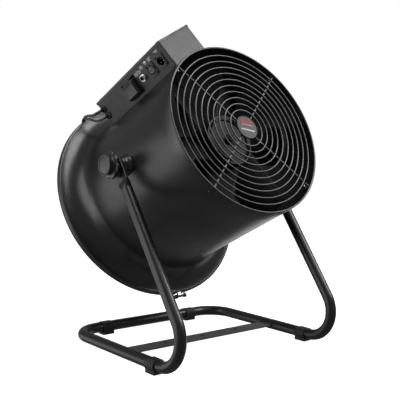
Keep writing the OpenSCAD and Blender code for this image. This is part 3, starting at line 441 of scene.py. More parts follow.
def leg_point(side, down, across=0.0, out=0.0):
    """Point on a leg in row millimetres: down the leg, across it, and outward from x = 0."""
    return Vector((0, PIVOT_Y, PIVOT_Z)) + LEG_DOWN * down + LEG_SIDE * across + X * side * out


def leg_section(side, down):
    """Section of the leg's end: a flat tongue with a round tip, then a neck that opens into the round tube."""
    k = min(max((down - TONGUE_LEN) / NECK_LEN, 0.0), 1.0)
    k = k * k * (3 - 2 * k)
    tip = math.sqrt(max(TIP_R ** 2 - (min(down, 4) - 4) ** 2, 0.3))
    thin = 1.0 if down > -17 else max(0.25, (down + 18.2) / 1.4)
    half_w = min(TONGUE_HALF_W, tip) * (1 - k) + TUBE_R * k
    half_t = TONGUE_HALF_T * thin * (1 - k) + TUBE_R * k
    middle = TONGUE_X * (1 - k) + HALF_W * k
    power = 2 / (2 + 10 * (1 - k) ** 2)
    ring = []
    for i in range(40):
        a = 2 * math.pi * i / 40
        c, s = math.cos(a), math.sin(a)
        ring.append(leg_point(side, down, half_w * math.copysign(abs(c) ** power, c),
                              middle + half_t * math.copysign(abs(s) ** power, s)))
    return ring


def stand_tube():
    """Half the tube's middle line from leg to rear rail, mirrored; then the two pressed leg ends."""
    neck_end = TONGUE_LEN + NECK_LEN
    path = [leg_point(1, neck_end + (LEG_LEN - neck_end) * i / 12, 0, HALF_W) for i in range(13)]
    path += [(HALF_W, y, z) for y, z in arc(BEND_Y, RAIL_Z + BEND_R, BEND_R, 180 - LEAN, 270, 24)[1:]]
    path += [(HALF_W, BEND_Y + (REAR_Y - BEND_R - BEND_Y) * i / 8, RAIL_Z) for i in range(1, 9)]
    path += [(x, y, RAIL_Z) for x, y in arc(HALF_W - BEND_R, REAR_Y - BEND_R, BEND_R, 0, 90, 20)[1:]]
    path += [(x, REAR_Y, RAIL_Z) for x in (100, 40)]
    bm = sweep_tube(path + [(-x, y, z) for x, y, z in reversed(path)], TUBE_R, 40, caps=False)
    downs = [-17.9, -17.6, -17, -16, -14, -11, -7, -2, 4, 10, 20, 30, 38, TONGUE_LEN]
    downs += [TONGUE_LEN + NECK_LEN * i / 14 for i in range(1, 15)]
    for side in (1, -1):
        skin([leg_section(side, d) for d in downs], bm=bm)
    return build("stand_tube_bent", bm, ROW, "tube", "stand", sharp=50)


def cross_bar():
    bm = slab(rounded(2 * (HALF_W - TUBE_R + 1.0), BAR_W, 1.2), [disc(BAR_HOLE_R, x, 0, 40) for x in BAR_HOLES],
              -BAR_T / 2, BAR_T / 2)
    return build("base_cross_bar", bm, ROW @ shift(0, BAR_Y, RAIL_Z), "bar", "stand", bevel=0.7)


def bar_weld(name, x, z):
    """Rippled weld between the cross bar's end and the tube."""
    pts = smooth_path([(x, BAR_Y - 19 + 7.6 * i, z) for i in range(6)], 10)
    radii = [1.5 * (1 + 0.16 * math.sin(i * 1.9) + 0.08 * noise.noise(p * 0.7)) for i, p in enumerate(pts)]
    build(name, sweep_tube(pts, radii, 10), ROW, "tube", "stand")


def foot(name, x, y, turn, node):
    """Rubber saddle: open-topped collar round the tube, with a thick ribbed pad below."""
    right = arc(0, RAIL_Z, FOOT_R, 47.1, -40, 10) + [(12, 8), (12, 1.2), (11.2, 0)]
    left = [(-px, pz) for px, pz in reversed(right)]
    ribs = []
    for c in (-8, -4, 0, 4, 8):
        ribs += [(c - 0.8, 0), (c - 0.5, 0.8), (c + 0.5, 0.8), (c + 0.8, 0)]
    outline = right + ribs[::-1] + left + arc(0, RAIL_Z, TUBE_R, 113.1, 426.9, 30)
    bm = slab(outline, [], -FOOT_LEN / 2, FOOT_LEN / 2)
    for z in (-8, 0, 8):
        for start in (150, -30):
            ring = lathe(arc(15.5, 0, 0.7, 0, 315, 7), 12, start=start, sweep=60, closed=True)
            bm = merged([bm, turned(shift(0, RAIL_Z, z), ring)])
    at = ROW @ shift(x, y, 0) @ spin(turn, "Z") @ spin(90, "X")
    obj = build(name, bm, at, "rubber", "stand", bevel=0.7)
    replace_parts(obj, node)


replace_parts(stand_tube(), "stand_tube")
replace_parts(cross_bar(), "cross_bar")
foot("foot_saddle_fl", -HALF_W, FOOT_Y, 0, "foot_front_left")
foot("foot_saddle_fr", HALF_W, FOOT_Y, 0, "foot_front_right")
foot("foot_saddle_rl", -FOOT_X, REAR_Y, 90, "foot_rear_left")
foot("foot_saddle_rr", FOOT_X, REAR_Y, 90, "foot_rear_right")
for tag, side in (("l", -1), ("r", 1)):
    for edge, top in (("b", -1), ("t", 1)):
        bar_weld(f"bar_weld_{tag}{edge}", side * (HALF_W - TUBE_R - 0.6), RAIL_Z + top * 2.6)

# ---- Drum, bell and rim ----

SHEET = 1.5
DRUM_R, DRUM_IN, BACK = 200, 198.5, -150
HEM_R, HEM_AT, HEM_START, HEM_END = 2.2, (197.4, 187.8), 185, 184.6
BELL_R, BELL_MID, BELL_LIP = 54, 254, 2     # bell curve: radius, its centre, how far it stops short
BAND_BACK, BAND_BEAD, GAP_AT, GAP = -218, 2, -87, 5
LUG_Y, LUG_R, LUG_T, LUG_HOLE = 261.5, 6, 3, 3.2


def drum_shell():
    wall = [(DRUM_R, BACK)] + [(DRUM_R, BACK + (HEM_START - BACK) * i / 8) for i in range(1, 9)]
    inside = [(DRUM_IN, HEM_END)] + [(DRUM_IN, HEM_END - (HEM_END - BACK) * i / 8) for i in range(1, 9)]
    bm = lathe(wall + arc(*HEM_AT, HEM_R, -35, 232, 14) + inside, 192, closed=True)
    return build("drum_skin", bm, DRUM, "drum")


def inlet_bell():
    outer_r = BELL_R + SHEET
    end, outer_end = (180 + math.degrees(math.acos(BELL_LIP / r)) for r in (BELL_R, outer_r))
    profile = arc(BELL_MID, BACK, BELL_R, 180, end, 28) + arc(BELL_MID, BACK, outer_r, outer_end, 180, 28)
    return build("inlet_bell_spun", lathe(profile, 192, closed=True), DRUM, "bell")


def clamp_band():
    """Channel over the rim with two beads, open at the bottom, where two lugs take the bolt."""
    flange = [(249.8, 0), (253.4, 0), (254.3, 0.4), (254.75, 1.3)]
    beads = arc(254, 4, BAND_BEAD, -68, 68, 8) + [(254.75, 8)] + arc(254, 12, BAND_BEAD, -68, 68, 8)
    inside = [(249.8, 14.5), (253.25, 14.5), (253.25, 1.5), (249.8, 1.5)]
    profile = flange + beads + [(r, 16 - s) for r, s in reversed(flange)] + inside
    profile = [(r, BAND_BACK + s) for r, s in profile]
    bm = lathe(profile, 200, start=GAP_AT + GAP / 2, sweep=360 - GAP, closed=True)
    band = build("rim_clamp_band", bm, DRUM, "band")
    lugs = DRUM @ spin(GAP_AT - 90, "Z") @ shift(0, 0, BAND_BACK + 8)
    for tag, x in (("b", -12), ("a", 9)):
        outline = [(-LUG_R, 252), (LUG_R, 252), (LUG_R, LUG_Y)] + arc(0, LUG_Y, LUG_R, 0, 180, 10) + \
            [(-LUG_R, LUG_Y)]
        bm = slab(outline, [disc(LUG_HOLE, 0, 263, 24)], 0, LUG_T)
        build(f"rim_clamp_lug_{tag}", bm, lugs @ shift(x, 0, 0) @ facing(Z, Y, X), "band", bevel=0.5)
    return band


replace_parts(drum_shell(), "drum_shell")
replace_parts(inlet_bell(), "inlet_bell")
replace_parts(clamp_band(), "clamp_band")

# ---- Guards, badge and guard screws ----

REAR_WIRE_Z, REAR_ROD_Z = -212, -216.2
FRONT_WIRE_Z, FRONT_ROD_Z = 186, 182.7
TAB_Z, SCREW_Z, SPOKE_TURN = 175.2, 174, 45
BADGE_TOP, BADGE_TURN = 189.05, -10


def rear_guard():
    hoop = [(244, -207.2), (251.2, -207.2), (252, -208), (252, -216.3), (250.5, -216.3), (250.5, -208.7),
            (244, -208.7)]
    hoop = build("inlet_guard_hoop", lathe(hoop[::-1], 160, closed=True), DRUM, "band")
    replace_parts(hoop, "rear_ring")
    parts = [torus(248.2 - 20 * i, 2.5, REAR_WIRE_Z, 128 if i < 6 else 72, 10) for i in range(11)]
    for i in range(6):
        a = math.radians(60 * i)
        rod = [(r * math.cos(a), r * math.sin(a), REAR_ROD_Z) for r in (8, 90, 170, 249.2)]
        parts.append(sweep_tube(rod, 2, 12))
    boss = [(0, -217.7), (14.6, -217.7), (16, -217), (16, -215.4), (14.8, -214.7), (0, -214.7)]
    parts.append(lathe(boss, 48))
    obj = build("inlet_guard_wires", merged(parts), DRUM, "wire")
    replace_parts(obj, "rear_guard")


def front_guard():
    parts = [torus(43 + 15.1 * i, 1.6, FRONT_WIRE_Z, 128 if i > 3 else 80, 12) for i in range(10)]
    parts.append(lathe([(0, 181.2), (11, 181.2), (12, 182), (12, 183.6), (11, 184.2), (0, 184.2)], 40))
    for i in range(4):
        turn = spin(SPOKE_TURN + 90 * i, "Z")
        parts.append(turned(turn, sweep_tube([(r, 0, FRONT_ROD_Z) for r in (8, 100, 196.4)], 2, 14)))
        tab = slab(rounded(14, 20, 2.5), [disc(2.2, 0, -1.2, 20)], 0, 2)
        parts.append(turned(turn @ shift(195.5, 0, TAB_Z) @ facing(Y, Z, X), tab))
    obj = build("outlet_guard_wires", merged(parts), DRUM, "wire", sharp=40)
    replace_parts(obj, "front_guard")


def guard_badge():
    """Dark dish with a red field and two plain light bars where the lettering would be."""
    dish = [(0, 184.4), (7, 184.4), (7, 187), (26.5, 187), (28, 187.5), (28, 189), (27.2, 189.5), (26.2, 189.5),
            (25.8, 189.1), (0, 189.1)]
    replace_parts(build("badge_dish", lathe(dish, 72), DRUM, "badge"), "guard_badge")
    turn = DRUM @ shift(0, 0, BADGE_TOP) @ spin(BADGE_TURN, "Z")
    build("badge_red_field", slab(rounded(33, 11, 3.5, 0, 9.5), [], 0, 0.3), turn, "red", bevel=0.12)
    build("badge_red_underline", slab(rounded(28, 1.1, 0.5, 1, 5.6), [], 0.25, 0.4), turn, "silver")
    build("badge_light_bar", slab(rounded(37, 3.2, 0.8, 1, -6.5), [], 0, 0.3), turn, "silver", bevel=0.12)
    rim = [(26.0, 189.2), (27.6, 189.2), (27.6, 189.6), (26.8, 189.95), (26.0, 189.6)]
    build("badge_rim", lathe(rim, 72, closed=True), DRUM, "black_zinc", slot="badge")


def guard_screws():
    for i in range(4):
        spot = DRUM @ spin(SPOKE_TURN + 90 * i, "Z") @ shift(DRUM_R + 0.1, 0, SCREW_Z) @ spin(90, "Y")
        head = build(f"guard_screw_head_{i}", pan_head(4.5, 2.6), spot, "black_zinc")
        shank = lathe([(0, -11.8), (1.6, -11.8), (2, -11.2), (2, 0.5), (0, 0.5)], 20)
        build(f"guard_screw_shank_{i}", shank, spot, "zinc")
        if i == 0:
            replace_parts(head, "guard_screws")


rear_guard()
front_guard()
guard_badge()
guard_screws()

# ---- Pivots and knobs ----

KNOB_STEPS, LOBES = 196, 7
KNOB_R, SCALLOP_AT, SCALLOP_R = 30.5, 36, 9
STUD_R, THREAD_R, THREAD_PITCH = 5, 4.55, 1.5


def lobed(inset):
    """Radii round the knob's flange: a circle with scallops cut in it, softened, and drawn in by an inset."""
    ring = []
    for i in range(KNOB_STEPS):
        a = 2 * math.pi * i / KNOB_STEPS
        near = (a + math.pi / LOBES) % (2 * math.pi / LOBES) - math.pi / LOBES
        inside = SCALLOP_R ** 2 - (SCALLOP_AT * math.sin(near)) ** 2
        ring.append(min(KNOB_R, SCALLOP_AT * math.cos(near) - math.sqrt(inside)) if inside > 0 else KNOB_R)
    soft = [sum(ring[(i + k) % KNOB_STEPS] for k in range(-3, 4)) / 7 for i in range(KNOB_STEPS)]
    return [max(r - inset, 12.0) for r in soft]


def knob_ring(radii, z):
    return [(r * math.cos(2 * math.pi * i / KNOB_STEPS), r * math.sin(2 * math.pi * i / KNOB_STEPS), z)
            for i, r in enumerate(radii)]


def pivot(side, tag):
    """Boss and rubber washer on the drum; knob in one moulding, with a cap face painted lighter grey as a
    reflection, and a threaded stud.
    """
    at = axes(PIVOT, -Z, Y * side, X * side)
    bm = lathe([(24.2, 198.4), (24, 199.8), (22.4, 202.6), (20.2, 205.6), (18.9, 208.6), (18.1, 212),
                (17.9, 215.2), (17.1, 217.2), (15.6, 218.25), (5.2, 218.25), (5.2, 199), (23, 198.4)], 72)
    boss = build(f"pivot_boss_{tag}", bm, at, "drum")
    bm = lathe([(5.1, 218.35), (16.3, 218.35), (17, 218.7), (17, 219.1), (16.2, 219.6), (5.1, 219.6)], 64,
               closed=True)
    washer = build(f"tilt_washer_{tag}", bm, at, "rubber")
    if side < 0:
        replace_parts(boss, "pivot_bosses")
        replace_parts(washer, "tilt_washers")

    body = f"knob_{tag}"
    hub = [(14, 225.6), (15, 226.2), (16.6, 233.4), (17.4, 234.4)]
    flange = [(1.6, 234.5), (0.6, 234.9), (0.0, 236), (0.0, 239.8), (0.5, 240.9), (1.7, 241.5)]
    cap = [(22.2, 241.7), (20.9, 242.5), (20.6, 244), (21.1, 247), (22.6, 252), (23.4, 254.4), (23.2, 255.5),
           (22.4, 256), (19.9, 256), (19.2, 255.5), (19.0, 254.5)]
    rings = [knob_ring([r] * KNOB_STEPS, z) for r, z in hub] + [knob_ring(lobed(i), z) for i, z in flange] + \
        [knob_ring([r] * KNOB_STEPS, z) for r, z in cap]
    knob = build(f"tilt_knob_{tag}", skin(rings), at, "knob", body, sharp=48)
    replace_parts(knob, f"knob_{tag}")
    # Cap face in the lighter grey that stands for a painted reflection.
    bm = lathe([(0, 254.4), (18.8, 254.4), (18.8, 255), (18.2, 255.3), (4.2, 255.1), (3.8, 254.8),
                (0, 254.8)], 64)
    build(f"tilt_knob_cap_{tag}", bm, at, "knob_cap", body)
    profile = [(0, 197), (4.2, 197), (STUD_R, 197.8)]
    z = 198.5
    while z < 225:
        profile += [(STUD_R, z), (THREAD_R, z + 0.4), (STUD_R, z + 0.8)]
        z += THREAD_PITCH
    build(f"tilt_stud_{tag}", lathe(profile + [(STUD_R, 226), (0, 226)], 32), at, "zinc", body, sharp=25)


pivot(-1, "left")
pivot(1, "right")

# ---- Impeller ----

HUB_FACE_IN, HUB_FACE_OUT, HUB_FACE_Z, HUB_TOP = 49.9, 57.4, 120, 128
SLOT_IN, SLOT_OUT, SLOT_ARC, SLOT_TURN = 51, 56, 44, 30
BLADES, BLADE_ROOT, BLADE_TIP, BLADE_Z, BLADE_PITCH = 6, 58.6, 191.6, 97, 32
CHORD_HALF, CAMBER_R, BLADE_HALF_T, TIP_CURVE = 46, 150, 1.25, 120


def fan_hub():
    face = lathe([(7, 124), (13, 124), (13.6, 124.6), (47, 124.6), (49.4, 124.3), (50, 124.6), (50, HUB_FACE_Z),
                  (16, HUB_FACE_Z), (16, 66), (7, 66)], closed=True)
    wall = lathe([(57, 124), (57, 66), (59.2, 66), (60, 66.8), (60, 127), (59.4, 127.7), (58.6, 127.9),
                  (57, 127.9)], closed=True)
    holes = [disc(HUB_FACE_IN, steps=96)]
    for a in (SLOT_TURN + 90 * i for i in range(4)):
        holes.append(arc(0, 0, SLOT_OUT, a, a + SLOT_ARC, 18) + arc(0, 0, SLOT_IN, a + SLOT_ARC, a, 18))
    ring = slab(disc(HUB_FACE_OUT, steps=96), holes, HUB_FACE_Z, HUB_TOP)
    hub = build("fan_hub_cup", merged([face, wall, ring]), DRUM, "hub", "impeller", sharp=30)
    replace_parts(hub, "impeller_hub")
    # The lip face takes the lighter paint, a painted highlight along the hub's rim.
    lip = lathe([(58.1, 127.9), (59.3, 127.7), (59.4, 127.9), (58.9, 128.15), (58.1, 128.15)], closed=True)
    build("fan_hub_lip_face", lip, DRUM, "rim", "impeller")


def blade_section(x):
    """Cambered, pitched section at radius x. It is drawn in to the hub's curve and, outward, to the tip's."""
    top, bottom = [], []
    for j in range(29):
        c = -CHORD_HALF + 2 * CHORD_HALF * j / 28
        edge = min(1.0, (CHORD_HALF + 0.3 - abs(c)) / 3.2)
        h = BLADE_HALF_T * math.sqrt(max(edge, 0.02))
        base = math.sqrt(CAMBER_R ** 2 - c ** 2) - CAMBER_R
        top.append(spin(BLADE_PITCH, "X") @ Vector((x, c, base + h)))
        bottom.append(spin(BLADE_PITCH, "X") @ Vector((x, c, base - h)))
    t = max(0.0, (x - TIP_CURVE) / (BLADE_TIP - TIP_CURVE))
    ring = []
    for p in top + bottom[::-1]:
        tip_x = math.sqrt(max(x * x - p.y ** 2, 1.0))
        root_x = math.sqrt(max(BLADE_ROOT ** 2 - min(abs(p.y), 55) ** 2, 1.0)) + (x - BLADE_ROOT)
        ring.append(Vector((root_x * (1 - t) + tip_x * t, p.y, p.z)))
    return ring


def fan_blades():
    for k in range(BLADES):
        bm = skin([blade_section(BLADE_ROOT + (BLADE_TIP - BLADE_ROOT) * i / 24) for i in range(25)])
        place = DRUM @ shift(0, 0, BLADE_Z) @ spin(360 / BLADES * k, "Z")
        blade = build(f"fan_blade_{k}", bm, place, "blade", "impeller", sharp=60)
        if k == 0:
            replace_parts(blade, "impeller_blades")


fan_hub()
fan_blades()

# ---- Control box ----

BOX_TOP, BOX_FRONT, BOX_BACK, BOX_CORNER = 256.5, 185, -89, 2.2
LID_TOP, LID_LIP, LID_OVER, LID_CORNER = 258, 252.05, 1, 2.4
NOTCH_S0, NOTCH_S1, NOTCH_TOP = 169, 179, 196
SOCKET_V, DATA_IN_S, DATA_OUT_S, JACK_S = 223.5, 158.5, 122, 88
LAMP_S, LAMP_V = 117, 244.5
GROMMET_S, GROMMETS_V = -80, (236, 217)
INLET_S, INLET_V, HINGE_V, HINGE_OUT = 40, 225, 243.5, 6


def skirt(u):
    """Height at which the box's wall meets the drum."""
    return math.sqrt(DRUM_R ** 2 - u * u) + 0.05


def inward(u, s):
    """The inner face of the wall's sheet at a point of its outer face."""
    near = BOX_CORNER + 0.1
    at_end = s > BOX_FRONT - near or s < BOX_BACK + near
    return (u - math.copysign(SHEET, u) if abs(u) > WALL_U - near else u,
            s - math.copysign(SHEET, s - (BOX_FRONT + BOX_BACK) / 2) if at_end else s)


def box_walls():
    """Folded wall on three sides of the box. The fourth is the connector panel."""
    plan = []
    for su, ss, a in CORNERS:
        s = (BOX_FRONT - BOX_CORNER) if ss > 0 else (BOX_BACK + BOX_CORNER)
        plan += arc(su * (WALL_U - BOX_CORNER), s, BOX_CORNER, a, a + 90, 5)
    dense = []
    for p, q in zip(plan, plan[1:] + plan[:1]):
        if abs(p[0] + WALL_U) < 1e-6 and abs(q[0] + WALL_U) < 1e-6:
            dense.append(p)
            first = len(dense)
            continue
        cuts = max(1, int(abs(q[0] - p[0]) / 6))
        dense += [(p[0] + (q[0] - p[0]) * c / cuts, p[1] + (q[1] - p[1]) * c / cuts) for c in range(cuts)]
    outer = dense[first:] + dense[:first]
    inner = [inward(u, s) for u, s in outer]
    bm = bmesh.new()
    out_low = [bm.verts.new((u, skirt(u), s)) for u, s in outer]
    out_top = [bm.verts.new((u, BOX_TOP, s)) for u, s in outer]
    in_low = [bm.verts.new((u, skirt(u), s)) for u, s in inner]
    in_top = [bm.verts.new((u, BOX_TOP, s)) for u, s in inner]
    last = len(outer) - 1
    for i in range(last):
        j = i + 1
        bm.faces.new((out_low[i], out_low[j], out_top[j], out_top[i]))
        bm.faces.new((in_low[i], in_top[i], in_top[j], in_low[j]))
        bm.faces.new((out_low[i], in_low[i], in_low[j], out_low[j]))
        bm.faces.new((out_top[i], out_top[j], in_top[j], in_top[i]))
    for i in (0, last):
        bm.faces.new((out_low[i], out_top[i], in_top[i], in_low[i]))
    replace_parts(build("control_box_walls", bm, BOX, "box", sharp=30), "control_box")


def box_panel():
    """Side wall with the holes for its fittings and a notch over a guard screw, and the seals at its foot."""
    low = skirt(WALL_U)
    s0, s1 = BOX_BACK + BOX_CORNER, BOX_FRONT - BOX_CORNER
    outline = [(s0, low), (NOTCH_S0 - 0.2, low), (NOTCH_S0 + 0.2, NOTCH_TOP), (NOTCH_S1 - 0.2, NOTCH_TOP),
               (NOTCH_S1 + 0.2, low), (s1, low), (s1, BOX_TOP), (s0, BOX_TOP)]
    holes = [rounded(34, 26, 1.5, INLET_S, INLET_V)]
    holes += [disc(12, s, SOCKET_V, 40) for s in (DATA_OUT_S, DATA_IN_S)]
    holes += [disc(5.7, JACK_S, SOCKET_V, 24), disc(3.1, LAMP_S, LAMP_V, 20)]
    holes += [disc(7, GROMMET_S, v, 28) for v in GROMMETS_V]
    build("control_box_panel", slab(outline, holes, -SHEET, 0), PANEL, "box", bevel=0.25)
    for n, (a, b) in enumerate(((s0, NOTCH_S0 - 0.4), (NOTCH_S1 + 0.4, s1))):
        bm = slab([(a, low), (b, low), (b, low + 1.6), (a, low + 1.6)], [], 0.0, 0.35)
        build(f"control_box_seal_{n}", bm, PANEL, "rubber", slot="box_paint", bevel=0.12)


def box_lid():
    """Folded cap with 6 mm lips, a slot in its front lip and four screws."""
    def outline(inset, v):
        pts = []
        for su, ss, a in CORNERS:
            cu = su * (WALL_U + LID_OVER - LID_CORNER)
            cs = ss * ((BOX_FRONT if ss > 0 else -BOX_BACK) + LID_OVER - LID_CORNER)
            pts += [(u, v, s) for u, s in arc(cu, cs, LID_CORNER - inset, a, a + 90, 6)]
        return pts
    levels = [(1.0, 256.55), (1.0, 252.2), (0.0, LID_LIP), (0.0, 256.6), (0.35, 257.45), (1.1, LID_TOP),
              (2.2, LID_TOP)]
    lid = build("control_box_lid", skin([outline(*level) for level in levels]), BOX, "box", sharp=30)
    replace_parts(lid, "box_lid")
    bm = slab(rounded(30, 1.3, 0.6, -1, 255.5), [], 185.9, 186.06)
    build("box_lid_slot", bm, BOX, "rubber", slot="box_paint")
    for i, (u, s) in enumerate([(u, s) for u in (-43, 43) for s in (-76, 172)]):
        spot = BOX @ shift(u, LID_TOP + 0.1, s) @ spin(-90, "X")
        head = build(f"box_lid_screw_{i}", pan_head(3.6, 2.0), spot, "black_zinc")
        if i == 0:
            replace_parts(head, "box_screws")


box_walls()
box_panel()
box_lid()

# ---- Connector panel ----

def data_socket(tag, s, male):
    at = at_panel(s, SOCKET_V)
    holes = [disc(11.6, 0, 0, 40), disc(1.6, 9.5, -12, 16), disc(1.6, -9.5, 12, 16)]
    plate = build(f"{tag}_flange", slab(rounded(26, 31, 3.2), holes, 0.1, 2.1), at, "plastic", bevel=0.4)
    barrel = [(0, -26), (11, -26), (11.8, -25), (11.8, 2.5), (11.3, 3)]
    if male:
        barrel += [(10.2, 3), (9.6, 2.4), (9.6, -14), (0, -14)]
        contact = [(0, -14), (1.25, -14), (1.25, -2.4), (0.9, -1.7), (0, -1.5)]
    else:
        barrel += [(10.7, 3), (10.4, 2.6), (10.4, -12), (9, -12), (9, 2.4), (8.6, 2.9), (0, 2.9)]
        contact = [(0, 2.6), (1.15, 2.6), (1.6, 3.0), (1.9, 3.05), (2.0, 2.85), (0, 2.85)]
    build(f"{tag}_shell", lathe(barrel, 56), at, "gloss")
    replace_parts(plate, tag)
    if male:
        key = slab([(-1.5, 7.6), (1.5, 7.6), (1.5, 9.7), (-1.5, 9.7)], [], -14, 1)
        build(f"{tag}_key", key, at, "gloss", bevel=0.3)
    for n, a in enumerate((90, 210, 330)):
        spot = at @ shift(5 * math.cos(math.radians(a)), 5 * math.sin(math.radians(a)), 0)
        pin = build(f"{tag}_contact_{n}", lathe(contact, 20), spot, "gold")
        if n == 0:
            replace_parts(pin, f"{tag}_pins" if male else f"{tag}_contacts")
    for n, k in enumerate((1, -1)):
        spot = at @ shift(9.5 * k, -12 * k, 2.2)
        head = build(f"{tag}_screw_{n}", pan_head(2.7, 1.6), spot, "black_zinc", slot="bright_steel")
        if n == 0 and male:
            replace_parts(head, "connector_screws")


def latch():
    bm = slab(rounded(6, 2.6, 0.6, 0, 9.4), [], -4, 4.9)
    slab(rounded(5, 1.8, 0.4, 0, 9.4), [], 4.8, 5.5, bm)
    obj = build("data_latch_button", bm, at_panel(DATA_OUT_S, SOCKET_V), "plastic", "data_latch",
                "bright_steel", bevel=0.2)
    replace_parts(obj, "data_out_latch")


def jack_and_lamp():
    at = at_panel(JACK_S, SOCKET_V)
    bm = lathe([(3.2, -22), (8.2, -22), (8.2, -2), (5.5, -1.7), (5.5, 7.4), (5.1, 8), (3.7, 8), (3.2, 7.4)], 40,
               closed=True)
    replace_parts(build("remote_jack_barrel", bm, at, "gloss"), "remote_jack")
    nut = lathe([(5.55, 0.1), (8, 0.1), (8.2, 0.4), (8.2, 2.8), (7.9, 3.1), (5.55, 3.1)], 48, closed=True)
    knurls = []
    for i in range(36):
        a, r = 2 * math.pi * i / 36, 6.95 if i % 2 else 6.6
        knurls.append((r * math.cos(a), r * math.sin(a)))
    slab(knurls, [disc(5.6, 0, 0, 24)], 3.1, 6.6, nut)
    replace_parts(build("remote_jack_nut", nut, at, "nickel"), "jack_nut")
    bm = lathe([(0, -5), (2.5, -5), (2.5, 0.1), (3.8, 0.1), (3.8, 0.7), (3.4, 1.1), (2.5, 1.2), (2.4, 1.9),
                (2.0, 2.9), (1.3, 3.6), (0.6, 3.9), (0, 4.0)], 32)
    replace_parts(build("status_lamp", bm, at_panel(LAMP_S, LAMP_V), "lamp"), "status_led")


def label_bars():
    """Plain raised bars where the panel carries small print: place along and up the panel, width, height."""
    bars = [(72.5, 242.6, 9, 1.5), (83, 242.6, 8, 1.5), (75, 239.8, 14, 1.5), (88, 239.8, 9, 1.5),
            (74, 237, 12, 1.5), (86, 237, 8, 1.5), (98, 246.2, 9, 1.5), (99, 243.4, 11, 1.5),
            (99, 240.6, 9, 1.5), (133, 247, 12, 1.7), (131, 244, 8, 1.5), (131, 241.4, 10, 1.5),
            (160, 247.6, 12, 1.7), (162, 244.6, 9, 1.5)]
    for i, (s, v, w, h) in enumerate(bars):
        build(f"label_bar_{i}", slab(rounded(w, h, h * 0.45, s, v, 3), [], 0.0, 0.12), PANEL, "ink")


def knuckle(name, half, bore, at, body="drum"):
    """Barrel of the splash lid's hinge, 2 * half long."""
    end = half - 0.3
    profile = [(bore, -half), (2.2, -half), (2.5, -end), (2.5, end), (2.2, half), (bore, half)]
    build(name, lathe(profile, 28, closed=True), at, "plastic", body)


def inlet(hinge):
    at = at_panel(INLET_S, INLET_V)
    mouth = rounded(28, 20, 2.5)
    plate = build("mains_inlet_flange", slab(rounded(50, 46, 4), [mouth], 0.1, 2.6), at, "plastic", bevel=0.6)
    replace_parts(plate, "mains_inlet")
    bm = slab(rounded(33, 25, 3), [mouth], -24, 0.2)
    slab(rounded(32, 24, 2.8), [], -24, -13.5, bm)
    build("mains_inlet_well", bm, at, "gloss")
    for n, (x, y) in enumerate(((-7, -2), (0, 4), (7, -2))):
        bm = slab(rounded(2, 5, 0.5, x, y, 3), [], -13.5, -1.6)
        pin = build(f"mains_inlet_blade_{n}", bm, at, "gold", bevel=0.25)
        if n == 0:
            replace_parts(pin, "inlet_pins")
    for n, end in enumerate((-18, 18)):
        knuckle(f"mains_inlet_knuckle_{n}", 5, 1.25, hinge @ shift(0, 0, end))
        bm = slab(rounded(10, 3.8, 0.8, INLET_S + end, HINGE_V, 3), [], 2.0, 5.4)
        build(f"mains_inlet_ear_{n}", bm, PANEL, "plastic", bevel=0.3)
    bm = lathe([(0, -23), (0.9, -23), (1.25, -22.6), (1.25, 22.6), (0.9, 23), (0, 23)], 24)
    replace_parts(build("inlet_lid_hinge_pin", bm, hinge, "zinc"), "lid_pin")


def splash_lid(hinge):
    """Hollow crowned cap with a finger lip, hung on a knuckle by a strap."""
    low, width, height = 202, 46, 38

    def ring(inset, z):
        outline = rounded(width - 2 * inset, height - 2 * inset, max(3.4 - inset * 0.4, 0.6), INLET_S,
                          low + height / 2)
        return [(x, y, z) for x, y in outline]

    levels = [(3.8, 12), (3.8, 3.1), (0.3, 3.1), (0, 3.4), (0, 8.3), (0.6, 9.9), (3.2, 12.9), (4.6, 14),
              (6, 14.1), (7, 13.7), (8.5, 13.6)]
    bm = skin([ring(*level) for level in levels])
    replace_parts(build("inlet_splash_lid", bm, PANEL, "gloss", "inlet_lid", sharp=40), "inlet_lid")
    bm = slab(rounded(16, 2.2, 1, INLET_S, 203.1), [], 3.3, 5.6)
    build("inlet_lid_finger_lip", bm, PANEL, "plastic", "inlet_lid", bevel=0.4)
    knuckle("inlet_lid_knuckle", 12.6, 1.3, hinge, "inlet_lid")
    bm = slab(rounded(25.2, 5.6, 1, INLET_S, 240.4, 3), [], 5.1, 8.1)
    build("inlet_lid_strap", bm, PANEL, "plastic", "inlet_lid", bevel=0.3)


data_socket("data_in", DATA_IN_S, True)
data_socket("data_out", DATA_OUT_S, False)
latch()
jack_and_lamp()
label_bars()
LID_HINGE = at_panel(INLET_S, HINGE_V, HINGE_OUT) @ spin(90, "Y")
inlet(LID_HINGE)
splash_lid(LID_HINGE)

# ---- Cables, grommets and ties ----

